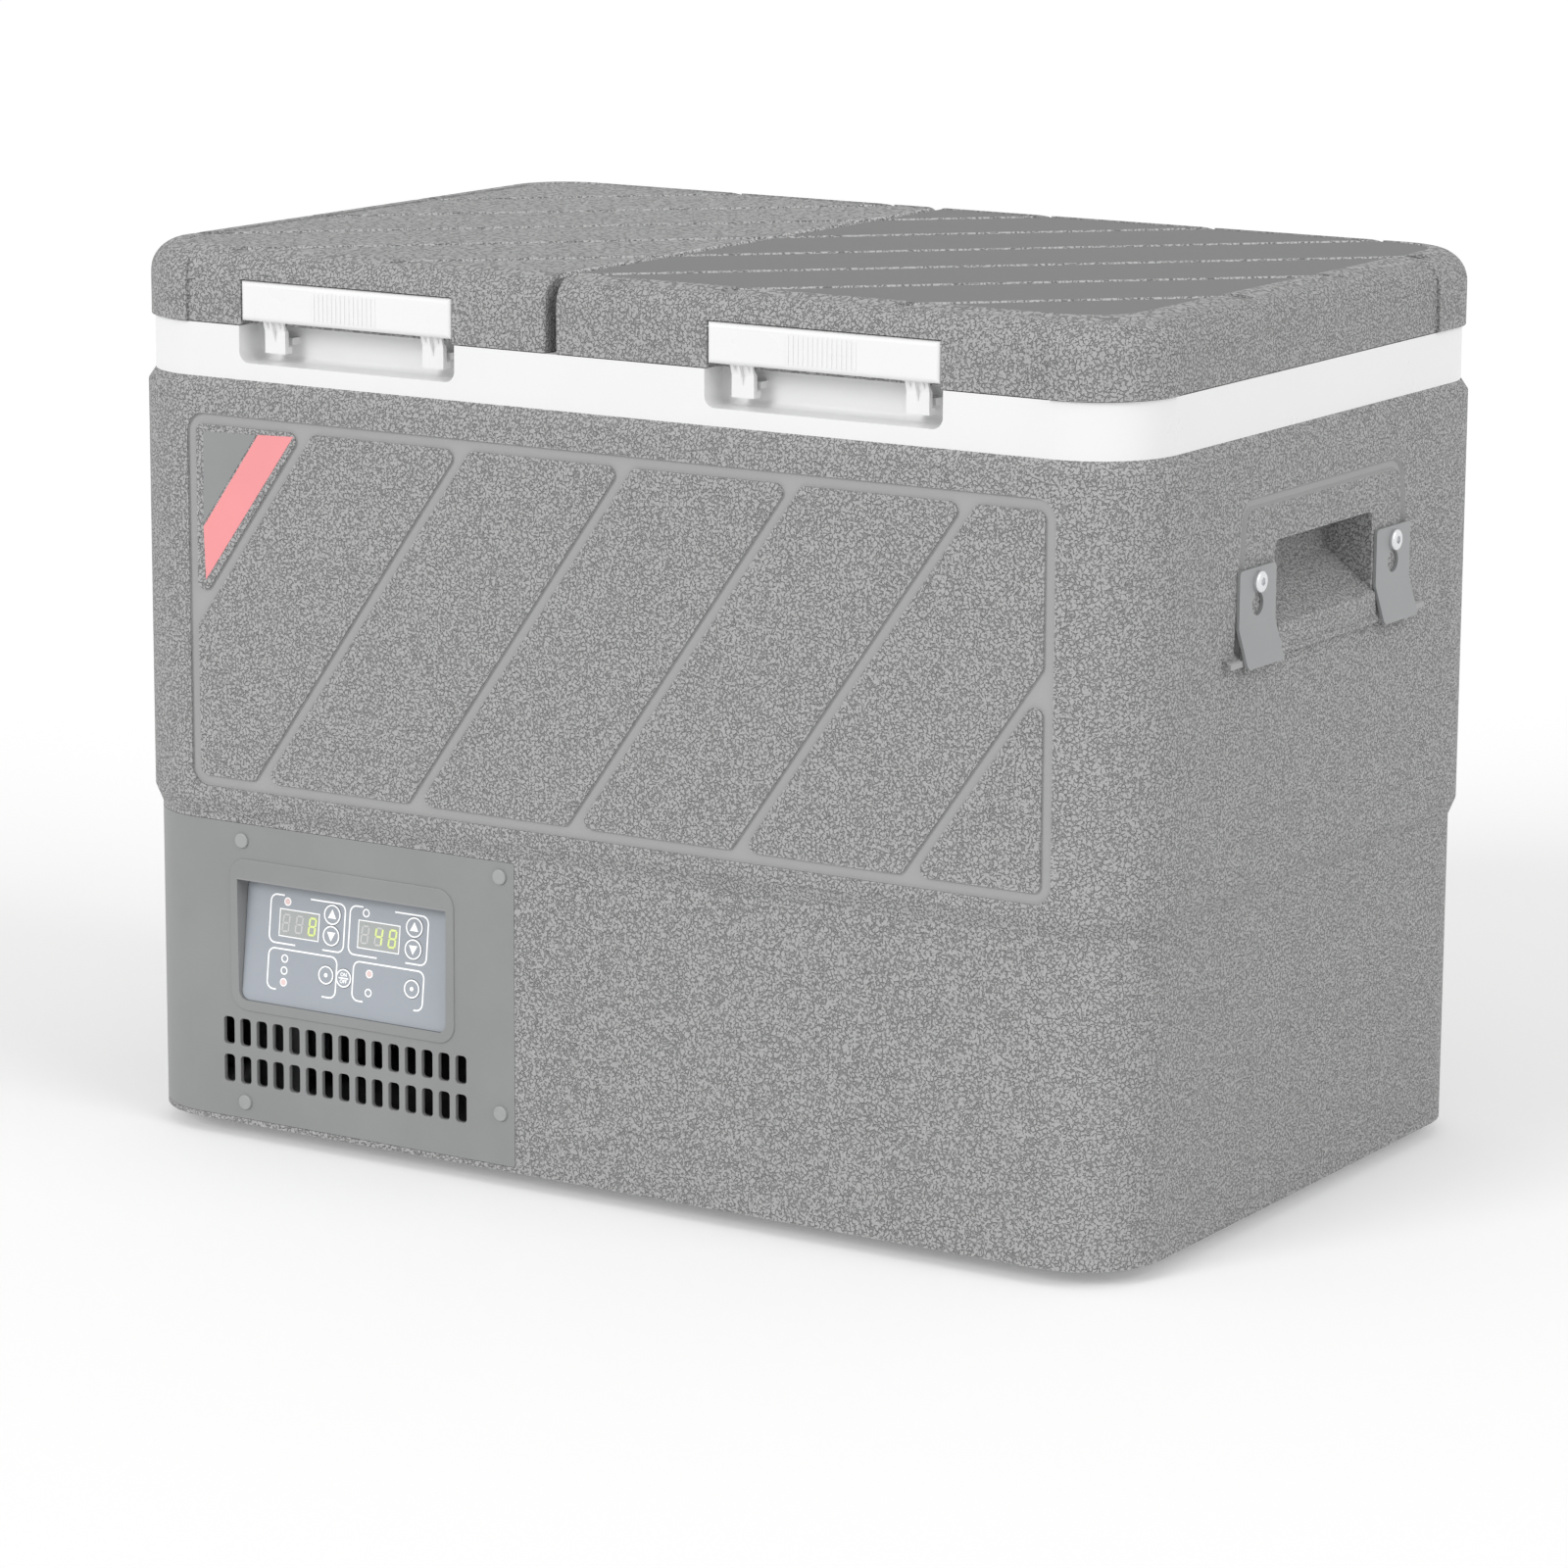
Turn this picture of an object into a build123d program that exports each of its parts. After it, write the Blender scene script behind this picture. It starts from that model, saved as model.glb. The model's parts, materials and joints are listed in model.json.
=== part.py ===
from build123d import *
import math
import os

# Dual-zone compressor cooler fridge: two foam-insulated bins side by side, a lid on each,
# and the compressor bay below the shorter left bin.
# Frame: millimetres, origin under the middle of the case, +X along the long side,
# the front faces -Y, +Z up.

# ---- Case ----
case_half_x = 354.7
case_half_y = 232.0
case_corner = 56.3
case_wall = 4.0
foot_height = 10.0
step_z = 203.0
step_rise = 11.0
step_in = 4.5
shoulder_z = 466.6
shoulder_rise = 7.0
shoulder_in = 4.7
case_top = shoulder_z + shoulder_rise

# ---- Collar, the white rim between case and lids ----
collar_height = 32.6
collar_wall = 3.0
deck_thickness = 3.0
skirt_depth = 12.0
skirt_gap = 0.2
skirt_ledge = 3.0
collar_top = case_top + collar_height
collar_half_x = case_half_x - shoulder_in
collar_half_y = case_half_y - shoulder_in
collar_corner = case_corner - shoulder_in

# ---- Bins ----
seam_x = -34.5
land_width = 41.0
insulation_x = 42.7
insulation_y = 42.0
left_floor_z = 236.0
right_floor_z = 46.0
bin_corner = 30.0
liner_wall = 2.0
flange_width = 8.0
flange_thickness = 2.0
mouth_gap = 0.3

# ---- Lids ----
lid_gap = 0.6
lid_top = 552.0
lid_wall = 3.5
lid_edge = 17.0
lid_seam = 7.0
seam_edge = 3.0
pad_proud = 2.2
pad_drop = 0.4
pad_side_in = 51.6
pad_front_in = 51.3
pad_back_in = 76.3
plateau_front_in = 17.0
plateau_side_in = 22.0
plateau_corner = 35.0
plateau_depth = 0.8
rib_count = 8
rib_pitch = 116.5
rib_offset = 49.0
rib_width = 9.0
rib_depth = 1.5
panel_z = 4.0
panel_thickness = 2.5
plug_depth = 6.0
plug_wall = 2.5
plug_margin = 12.0
gasket_width = 9.0
gasket_gap = 0.3

# ---- Lid hinges ----
hinge_in = 1.3
hinge_drop = 6.2
hinge_inset = 70.0
knuckle_radius = 3.5
pin_radius = 1.75
pin_gap = 0.05
knuckle_length = 20.0
ear_length = 6.0
ear_gap = 0.4
arm_rise = 18.0
arm_thickness = 3.0
pocket_floor_drop = 16.2

# ---- Latches ----
left_latch_shift = 13.0
right_latch_shift = -8.0
latch_half = 76.9
latch_height = 24.0
latch_bottom = 509.5
latch_depth = 9.5
latch_proud = 1.0
latch_corner = 3.0
latch_gap = 0.7
leg_offset = 58.0
leg_width = 15.0
leg_bottom = 490.0
leg_in = 8.0
leg_back = 3.0
leg_root = 2.5
gusset_proud = 5.5
gusset_thickness = 1.2
gusset_pitch = 4.6
gusset_tips = (14.0, 7.0, 14.0)
hook_height = 4.0
hook_reach = 6.5
hook_gap = 0.4
grip_half = 23.0
grip_height = 17.0
grip_pitch = 3.2
grip_rib = 1.2
grip_proud = 0.6
catch_rise = 1.0
catch_height = 4.0
pocket_half = 79.0
pocket_depth = 23.0
pocket_bottom = 484.0
pocket_corner = 7.0
pocket_bend = 4.0
latch_pin_radius = 1.2
pin_boss = 6.0

# ---- Grooves on the front ----
groove_left_in = 57.7
groove_right_in = 48.7
groove_bottom = 222.0
groove_top = 452.0
groove_width = 6.75
groove_depth = 2.0
groove_corner = 12.0
pad_corner = 5.0
slant = 0.7085
slant_pitch = 114.6
slant_start = 95.0
slant_count = 6

# ---- Side handles ----
field_top_half = 97.0
field_low_half = 104.5
field_corner = 8.0
field_groove = 6.5
field_groove_depth = 2.6
field_groove_draft = 30.0
field_top = 432.0
field_flat_z = 400.0
lip_top = 349.0
lip_bottom = 345.0
lip_proud = 4.0
lip_reach = 5.5
lip_slope = 3.5
lip_half = 124.0
scoop_half = 62.0
scoop_top = 410.7
scoop_drop = 26.5
scoop_depth = 33.0
scoop_corner = 4.0
scoop_bend = 9.0
scoop_floor_z = 388.0
scoop_wall = 3.0
plate_offset = 86.6
plate_width = 44.6
plate_thickness = 2.0
plate_top = 399.0
plate_bend = 365.7
plate_bottom = 343.0
plate_flare = 6.7
plate_gap = 0.3
screw_z = 390.6
screw_radius = 3.0
screw_head = 6.5
screw_head_height = 3.2
screw_length = 14.0
keyhole_radius = 6.75
keyhole_slot = 3.4
plate_travel = 12.8
plate_corner = 3.0
screw_socket = 2.6
boss_radius = 7.5
boss_length = 13.0

# ---- Control cover, display and vents ----
cover_right = -61.0
cover_wrap = 60.0
cover_top = 200.0
cover_bottom = 13.5
cover_wall = 3.0
cover_gap = 0.3
cover_flange = 15.0
vent_shift = 17.96
vent_pitch = 12.48
vent_columns = 15
vent_rows = (68.25, 44.25)
vent_width = 8.2
vent_height = 17.5
vent_corner = 2.5
display_shift = 17.1
display_width = 155.0
display_bottom = 89.0
display_top = 164.3
display_frame = 5.0
display_depth_low = 1.0
display_depth_high = 9.9
display_brow = 7.5
display_side = 0.8
rim_width = 6.5
rim_proud = 1.0
rim_corner = 12.0
display_radius = 6.0
display_box_depth = 15.5
glass_thickness = 2.0
glass_gap = 0.4
button_travel = 0.5
button_gap = 0.25
button_proud = 0.3
arrow_radius = 6.4
small_radius = 5.9
board_thickness = 1.6
cover_screw_head = 4.7
cover_screw_rise = 1.6
cover_screw_radius = 2.0
cover_screw_length = 9.0
cover_screw_left = 57.4
cover_screw_in = 10.0
cover_screw_rows = (189.5, 191.0, 45.5, 24.0)

# ---- Machine bay ----
bay_gap = 4.0
bay_sheet = 1.2
base_sheet = 1.6
base_lip = 14.0
side_vent_in = 76.0
side_vent_span = 102.0
side_vent_z = (42.0, 150.0)
side_vent_width = 6.0
side_vent_pitch = 12.0
side_vent_bridge = 8.0
compressor_in = 91.0
compressor_back_in = 116.0
compressor_radius = 54.0
compressor_crown = 22.0
compressor_base = 11.0
compressor_height = 122.0
compressor_foot = 3.0
compressor_foot_half = 56.0
mount_height = 14.0
mount_radius = 8.0
mount_pitch = 92.0
bolt_radius = 3.0
condenser_in = 50.7
condenser_thickness = 38.0
condenser_front_in = 66.0
condenser_length = 120.0
condenser_height = 124.0
condenser_stand = 8.0
fin_count = 18
fin_thickness = 1.0
fan_size = 112.0
fan_depth = 24.0
fan_bore = 51.0
fan_hub = 18.0
fan_motor = 14.0
fan_shaft = 2.0
fan_strut = 4.0
fan_blades = 7
blade_gap = 1.6
fan_twist = 32.0
pipe_radius = 3.2
pipe_bend = 14.0
drier_radius = 10.0
drier_length = 76.0
drier_clear = 12.8
inverter_front_in = 192.0
inverter_length = 100.0
inverter_z = (58.0, 150.0)
inverter_depth = 22.0
inverter_fin_pitch = 12.0
inlet_back_in = 112.0
inlet_z = 70.0
inlet_width = 64.0
inlet_height = 34.0
inlet_depth = 24.0
inlet_rim = 3.0
socket_width = 22.0
socket_height = 15.0
socket_pin = 1.5

# ---- Baskets, lamps, feet ----
basket_gap = 7.0
basket_top = 486.0
wire = 3.6
wire_pitch = 52.0
lamp_length = 44.0
lamp_height = 12.0
lamp_depth = 2.5
lamp_z = 491.0
foot_radius = 18.0
foot_inset = 62.0
foot_chamfer = 2.0
evaporator_sheet = 1.0
evaporator_channel = 3.0
channel_height = 8.0
evaporator_gap = 1.0
evaporator_foot = 10.0
evaporator_top = 338.0
evaporator_pitch = 48.0

# ---- Worked-out places ----
deck_half_x = case_half_x - insulation_x
bin_half_y = case_half_y - insulation_y
lid_bottom = collar_top + lid_gap
plateau_z = lid_top - plateau_depth
hinge_y = collar_half_y - hinge_in
hinge_z = collar_top - hinge_drop
leg_front = collar_half_y - leg_in
pad_front_x = collar_half_x - pad_side_in
pad_front_y = collar_half_y - pad_front_in
pad_back_y = collar_half_y - pad_back_in
groove_left = groove_left_in - case_half_x
groove_right = case_half_x - groove_right_in
slant_first = groove_left + slant_start
cover_back_y = cover_wrap - case_half_y
cover_middle = (step_in - case_half_x + cover_right) / 2
vent_first_x = cover_middle + vent_shift - (vent_columns - 1) / 2 * vent_pitch
display_left = cover_middle + display_shift - display_width / 2
display_right = display_left + display_width
cover_screw_xs = (cover_middle - cover_screw_left, cover_right - cover_screw_in)
cover_screw_points = (
    (cover_screw_xs[0], cover_screw_rows[0]),
    (cover_screw_xs[1], cover_screw_rows[1]),
    (cover_screw_xs[1], cover_screw_rows[2]),
    (cover_screw_xs[0], cover_screw_rows[3]),
)
side_vent_y = (side_vent_in - case_half_y, side_vent_in + side_vent_span - case_half_y)
bay_right = cover_right + bay_gap
compressor_x = bay_right - compressor_in
compressor_y = case_half_y - compressor_back_in
condenser_x = (condenser_in - case_half_x, condenser_in + condenser_thickness - case_half_x)
condenser_y = (condenser_front_in - case_half_y, condenser_front_in + condenser_length - case_half_y)
inverter_y = (inverter_front_in - case_half_y, inverter_front_in + inverter_length - case_half_y)
inlet_y = case_half_y - inlet_back_in
bay_top = step_z
bay_floor = foot_height + case_wall + base_sheet
bins = {
    "left": (-deck_half_x, seam_x - land_width / 2, left_floor_z),
    "right": (seam_x + land_width / 2, deck_half_x, right_floor_z),
}
lid_edges = (seam_x - lid_seam / 2, seam_x + lid_seam / 2)
left_latch_x = (lid_edges[0] - collar_half_x) / 2 + left_latch_shift
right_latch_x = (lid_edges[1] + collar_half_x) / 2 + right_latch_shift
lids = {
    "left": (-collar_half_x, lid_edges[0], left_latch_x),
    "right": (lid_edges[1], collar_half_x, right_latch_x),
}
nodes = {}


def block(x0, x1, y0, y1, z0, z1):
    """A box between two corners."""
    centre = Pos((x0 + x1) / 2, (y0 + y1) / 2, (z0 + z1) / 2)
    return centre * Box(x1 - x0, y1 - y0, z1 - z0)


def prism(half_x, half_y, radius, z0, z1, x=0.0, y=0.0):
    """A rounded rectangle about (x, y), from z0 up to z1."""
    outline = RectangleRounded(2 * half_x, 2 * half_y, radius)
    return Pos(x, y, z0) * extrude(outline, z1 - z0)


def taper(low, high):
    """A loft between two rounded rectangles, each (half_x, half_y, radius, z)."""
    outlines = [
        Pos(0, 0, z) * RectangleRounded(2 * half_x, 2 * half_y, radius)
        for half_x, half_y, radius, z in (low, high)
    ]
    return loft(outlines)


def rod(start, end, radius):
    """A round bar between two points."""
    start, end = Vector(*start), Vector(*end)
    disc = Plane(start, z_dir=end - start) * Circle(radius)
    return extrude(disc, (end - start).length)


def across_x(points, x0, x1):
    """A (y, z) outline pushed along X from x0 to x1."""
    face = Plane.YZ.offset(x0) * make_face(Polyline(*points, close=True))
    return extrude(face, x1 - x0)


def across_y(points, y0, y1):
    """An (x, z) outline pushed along Y from y0 to y1."""
    face = Plane.XZ.offset(-y0) * make_face(Polyline(*points, close=True))
    return extrude(face, -(y1 - y0))


def mirrored(shape):
    """The same shape on the other side of the case."""
    return mirror(shape, about=Plane.YZ)


# ---------------------------------------------------------------- case
def case_form(inset, z_low, z_high):
    """The case's outline, moved in by inset, between two heights."""
    lower = (case_half_x - step_in - inset, case_half_y - step_in - inset, case_corner - step_in - inset)
    upper = (case_half_x - inset, case_half_y - inset, case_corner - inset)
    rim = (collar_half_x - inset, collar_half_y - inset, collar_corner - inset)
    form = prism(*lower, z_low, step_z)
    form += taper((*lower, step_z), (*upper, step_z + step_rise))
    form += prism(*upper, step_z + step_rise, shoulder_z)
    form += taper((*upper, shoulder_z), (*rim, case_top))
    if z_high > case_top:
        form += prism(*rim, case_top, z_high)
    return form


def front_grooves():
    """The framed slanted grooves on the front, as one cutter."""
    front = Plane((0, -case_half_y, 0), x_dir=(1, 0, 0), z_dir=(0, -1, 0))
    mid = ((groove_left + groove_right) / 2, (groove_bottom + groove_top) / 2)
    width, height = groove_right - groove_left, groove_top - groove_bottom
    sketch = Pos(*mid) * RectangleRounded(width, height, groove_corner)
    inner = Pos(*mid) * Rectangle(width - 2 * groove_width, height - 2 * groove_width)
    half = groove_width / 2 * math.hypot(1, slant)

    def slant_x(index, z):
        return slant_first + index * slant_pitch + (z - groove_top) * slant

    for index in range(slant_count + 1):
        low, high = groove_bottom, groove_top
        left = [slant_x(index - 1, z) + half for z in (low, high)]
        right = [slant_x(index, z) - half for z in (high, low)]
        if index == 0:
            left = [groove_left - width, groove_left - width]
        if index == slant_count:
            right = [groove_right + width, groove_right + width]
        corners = [(left[0], low), (left[1], high), (right[0], high), (right[1], low)]
        pad = inner & make_face(Polyline(*corners, close=True))
        shortest = pad.edges().sort_by(SortBy.LENGTH)[0].length
        sketch -= fillet(pad.vertices(), min(pad_corner, shortest / 3))
    return extrude(front * sketch, -groove_depth)


def scoop_form(grow):
    """The finger scoop's space on the right side, grown by a wall."""
    deep = case_half_x - scoop_depth - grow
    out = case_half_x + 4 * lip_proud
    run = scoop_drop / (scoop_depth + lip_proud)
    low = scoop_floor_z - scoop_drop - grow - run * (out - case_half_x - lip_proud)
    points = [
        (out, scoop_top + grow),
        (deep, scoop_top + grow),
        (deep, scoop_floor_z - grow),
        (out, low),
    ]
    side = make_face(Polyline(*points, close=True))
    bends = side.vertices().group_by(Axis.X)[0]
    side = fillet(bends, scoop_bend)
    form = extrude(Plane.XZ * side, scoop_half + grow, both=True)
    if grow:
        return form
    height = 2 * (scoop_top - step_z - step_rise)
    outline = RectangleRounded(2 * scoop_half, height, scoop_corner)
    mouth = extrude(Plane.YZ.offset(deep - 1) * Pos(0, scoop_top - height / 2) * outline, out - deep + 2)
    return form & mouth


def handle_block():
    """The solid behind the right scoop, inside the case wall."""
    form = scoop_form(scoop_wall)
    inside = case_half_x - case_wall / 2
    return form & block(0, inside, -case_half_y, case_half_y, step_z, case_top)


def screw_bosses():
    """Round bosses behind the right side's two keyhole screws."""
    inside = case_half_x - case_wall / 2
    bosses = [
        rod((inside - boss_length, y, screw_z), (inside, y, screw_z), boss_radius)
        for y in (-plate_offset, plate_offset)
    ]
    return bosses[0] + bosses[1]


def field_prism(grow, low, start_x, reach, draft):
    """A prism along X over the handle field, which is wider at the lip than at its top."""
    top = field_top + grow
    top_half, low_half = field_top_half + grow, field_low_half + grow
    corners = [(-low_half, low), (-top_half, top), (top_half, top), (low_half, low)]
    outline = make_face(Polyline(*corners, close=True))
    outline = fillet(outline.vertices().group_by(Axis.Y)[-1], field_corner + grow)
    return extrude(Plane.YZ.offset(start_x) * outline, reach, taper=draft)


def add_handle(shell, flip):
    """Adds one side's handle zone: grooved frame, sloping field, scoop and plate seats."""
    place = mirrored if flip else (lambda shape: shape)
    face = case_half_x
    frame = field_prism(field_groove, lip_top, face, -field_groove_depth, field_groove_draft)
    frame -= field_prism(0, lip_bottom, face, -field_groove_depth, -field_groove_draft)
    slope = [
        (face - case_wall / 2, field_flat_z),
        (face, field_flat_z),
        (face + lip_proud, lip_top),
        (face + lip_proud, lip_bottom),
        (face - case_wall / 2, lip_bottom),
    ]
    field = across_y(slope, -lip_half, lip_half)
    field &= field_prism(0, 0, face - case_wall, case_wall + lip_reach, 0)
    lip = across_y(
        [
            (face - 1, lip_top + lip_slope - 1),
            (face + lip_reach, lip_top - 1),
            (face + lip_reach, lip_bottom),
            (face - 1, lip_bottom),
        ],
        -lip_half,
        lip_half,
    )
    seat_end = plate_offset + plate_width / 2 + 1
    seats = [
        block(face, face + 10 * lip_proud, y0, y1, step_z, case_top)
        for y0, y1 in ((-seat_end, -scoop_half), (scoop_half, seat_end))
    ]
    holes = [
        rod((face - case_wall - boss_length, y, screw_z), (face + 1, y, screw_z), screw_radius)
        for y in (-plate_offset, plate_offset)
    ]
    shell -= place(frame)
    shell += place(field + lip)
    shell += place(handle_block() + screw_bosses())
    for cutter in seats + holes:
        shell -= place(cutter)
    return shell - place(scoop_form(0))


def cover_region(grow, z_grow):
    """The front-left corner of the lower case, where the control cover sits."""
    return block(
        -case_half_x - 1,
        cover_right + grow,
        -case_half_y - 1,
        cover_back_y + grow,
        cover_bottom - z_grow,
        cover_top + z_grow,
    )


def lower_ring(inset, thickness):
    """A wall of the lower case between two insets."""
    half_x, half_y, corner = case_half_x - step_in, case_half_y - step_in, case_corner - step_in
    outer = prism(half_x - inset, half_y - inset, corner - inset, foot_height, step_z)
    inner = inset + thickness
    return outer - prism(half_x - inner, half_y - inner, corner - inner, foot_height, step_z)


def make_case():
    """Moulded outer shell with its floor, rebate for the cover, grooves, handles and side vents."""
    shell = case_form(0, foot_height, case_top)
    shell -= case_form(case_wall, foot_height + case_wall, case_top)
    rebate = cover_wall + cover_gap
    shell -= lower_ring(0, rebate) & cover_region(cover_gap, cover_gap)
    shell += lower_ring(rebate, case_wall) & cover_region(case_wall, case_wall)
    shell -= lower_ring(0, 3 * case_wall) & cover_region(-cover_flange, -cover_flange)
    half_y = case_half_y - step_in
    for x, z in cover_screw_points:
        shell -= rod((x, -half_y - 1, z), (x, -half_y + 4 * case_wall, z), cover_screw_radius)
    shell -= front_grooves()
    shell = add_handle(shell, False)
    shell = add_handle(shell, True)
    # base plate opening in the floor of the machine bay, clear of the feet
    edge_x = case_half_x - step_in - case_wall - base_lip
    edge_y = case_half_y - foot_inset - foot_radius - base_lip
    shell -= block(-edge_x, bay_right - base_lip, -edge_y, edge_y, 0, foot_height + case_wall)
    # vents and power inlet on the left side
    wall_out, wall_in = -case_half_x, -case_half_x + step_in + 2 * case_wall
    middle = (side_vent_z[0] + side_vent_z[1]) / 2
    count = int((side_vent_y[1] - side_vent_y[0]) // side_vent_pitch) + 1
    half_bridge = side_vent_bridge / 2
    rows = ((side_vent_z[0], middle - half_bridge), (middle + half_bridge, side_vent_z[1]))
    for index in range(count):
        y = side_vent_y[0] + index * side_vent_pitch
        for z0, z1 in rows:
            shell -= block(wall_out, wall_in, y, y + side_vent_width, z0, z1)
    shell -= block(
        wall_out,
        wall_in,
        inlet_y - inlet_width / 2,
        inlet_y + inlet_width / 2,
        inlet_z - inlet_height / 2,
        inlet_z + inlet_height / 2,
    )
    nodes["outer_shell"] = shell


# ---------------------------------------------------------------- bins, collar and foam
def bin_prism(side, grow, z0, z1):
    """A prism over one bin's opening, grown on all sides."""
    x0, x1, _ = bins[side]
    half_x = (x1 - x0) / 2 + grow
    return prism(half_x, bin_half_y + grow, bin_corner + grow, z0, z1, x=(x0 + x1) / 2)


def make_liner(side):
    """Deep-drawn bin liner with a flange that lies in the deck's rebate."""
    floor_z = bins[side][2]
    liner = bin_prism(side, liner_wall, floor_z - liner_wall, collar_top)
    flange_low = collar_top - flange_thickness
    liner += bin_prism(side, liner_wall + flange_width, flange_low, collar_top)
    liner -= bin_prism(side, 0, floor_z, collar_top)
    nodes[f"{side}_bin_liner"] = liner


def latch_pockets(grow):
    """The two finger pockets in the front of the collar."""
    pockets = []
    height = collar_top - pocket_bottom
    for _, _, latch_x in lids.values():
        outline = RectangleRounded(2 * (pocket_half + grow), 2 * (height + grow), pocket_corner + grow)
        face = Plane.XZ.offset(collar_half_y + (0 if grow else 1)) * Pos(latch_x, collar_top) * outline
        depth = pocket_depth + grow + (0 if grow else 1)
        pocket = extrude(face, -depth)
        bend = pocket.faces().sort_by(Axis.Y)[-1].edges()
        pockets.append(fillet(bend, pocket_bend + grow))
    return pockets[0] + pockets[1]


def hinge_places(side):
    """The x of each of a lid's two hinges."""
    x0, x1, _ = lids[side]
    return (x0 + hinge_inset, x1 - hinge_inset)


def hinge_pockets(grow):
    """Pockets in the back of the collar, one for each hinge."""
    half = knuckle_length / 2 + ear_gap + ear_length + 1
    front = hinge_y - knuckle_radius - arm_thickness - 2
    low = collar_top - pocket_floor_drop
    shapes = [
        block(
            x - half - grow,
            x + half + grow,
            front - grow,
            collar_half_y + (0 if grow else 1),
            low - grow,
            collar_top + (0 if grow else 1),
        )
        for side in lids
        for x in hinge_places(side)
    ]
    return shapes


def collar_form(inset, z0, z1):
    """The collar's outline, moved in by inset."""
    return prism(collar_half_x - inset, collar_half_y - inset, collar_corner - inset, z0, z1)


def collar_hollow():
    """The space under the deck, narrower where the ledge carries the skirt."""
    ledge_top = case_top + skirt_ledge
    hollow = collar_form(collar_wall, ledge_top, collar_top - deck_thickness)
    return hollow + collar_form(case_wall + skirt_gap + collar_wall, case_top, ledge_top)


def make_collar():
    """Collar and deck in one moulding: rim, bin openings, latch pockets, hinge pockets and skirt."""
    collar = collar_form(0, case_top, collar_top)
    channel = collar_hollow()
    for side in bins:
        channel -= bin_prism(side, liner_wall + mouth_gap + collar_wall, case_top, collar_top)
    channel -= latch_pockets(collar_wall)
    for pocket in hinge_pockets(collar_wall):
        channel -= pocket
    collar -= channel
    skirt_in = case_wall + skirt_gap
    skirt = collar_form(skirt_in, case_top - skirt_depth, case_top)
    collar += skirt - collar_form(skirt_in + collar_wall, case_top - skirt_depth, case_top)
    for side in bins:
        collar -= bin_prism(side, liner_wall + mouth_gap, case_top - skirt_depth, collar_top)
        flange_low = collar_top - flange_thickness
        collar -= bin_prism(side, liner_wall + flange_width + mouth_gap, flange_low, collar_top)
    collar -= latch_pockets(0)
    for pocket in hinge_pockets(0):
        collar -= pocket
    for _, _, latch_x in lids.values():
        for leg_x in (latch_x - leg_offset, latch_x + leg_offset):
            collar += catch_rib(leg_x)
    nodes["collar_rim"] = collar


def hook_tip_y():
    """How far back a latch's hooks reach."""
    return latch_faces()[1] + hook_reach


def catch_rib(leg_x):
    """The rib in a latch pocket that a hook catches on."""
    z0 = leg_bottom + hook_height + catch_rise
    back = -collar_half_y + pocket_depth
    return block(
        leg_x - leg_width / 2,
        leg_x + leg_width / 2,
        hook_tip_y() + hook_gap,
        back,
        z0,
        z0 + catch_height,
    )


def make_foam():
    """Foam that fills the walls round the bins, above and beside the machine bay."""
    floor_top = foot_height + case_wall
    skirt_low = case_top - skirt_depth
    deck_low = collar_top - deck_thickness
    foam = case_form(case_wall, floor_top, case_top) & block(
        -case_half_x, case_half_x, -case_half_y, case_half_y, floor_top, skirt_low
    )
    foam += collar_form(case_wall + skirt_gap + collar_wall, skirt_low, case_top)
    foam += collar_hollow()
    for side in bins:
        x0, x1, floor_z = bins[side]
        foam -= bin_prism(side, liner_wall, floor_z - liner_wall, deck_low)
        foam -= bin_prism(side, liner_wall + mouth_gap + collar_wall, case_top, deck_low)
        low, high = evaporator_span(side)
        jacket = liner_wall + evaporator_sheet + evaporator_channel + evaporator_gap
        foam -= bin_prism(side, jacket, low - evaporator_gap, high + evaporator_gap)
    foam -= latch_pockets(collar_wall)
    for pocket in hinge_pockets(collar_wall):
        foam -= pocket
    backing = handle_block() + screw_bosses()
    foam -= backing
    foam -= mirrored(backing)
    bay_wall = bay_right + bay_sheet
    foam -= block(-case_half_x, bay_wall, -case_half_y, case_half_y, floor_top, bay_top + bay_sheet)
    nodes["insulation_foam"] = foam


def evaporator_span(side):
    """The heights between which a bin's evaporator is wrapped."""
    return (bins[side][2] + evaporator_foot, evaporator_top)


def make_evaporator(side):
    """Evaporator sheet wrapped round a liner, with raised channels for the refrigerant."""
    low, high = evaporator_span(side)
    inner, outer = liner_wall, liner_wall + evaporator_sheet
    wrap = bin_prism(side, outer, low, high)
    count = int((high - low) // evaporator_pitch)
    for index in range(count):
        z = low + evaporator_pitch * (index + 0.5)
        wrap += bin_prism(side, outer + evaporator_channel, z, z + channel_height)
    nodes[f"{side}_evaporator"] = wrap - bin_prism(side, inner, low, high)


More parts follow.
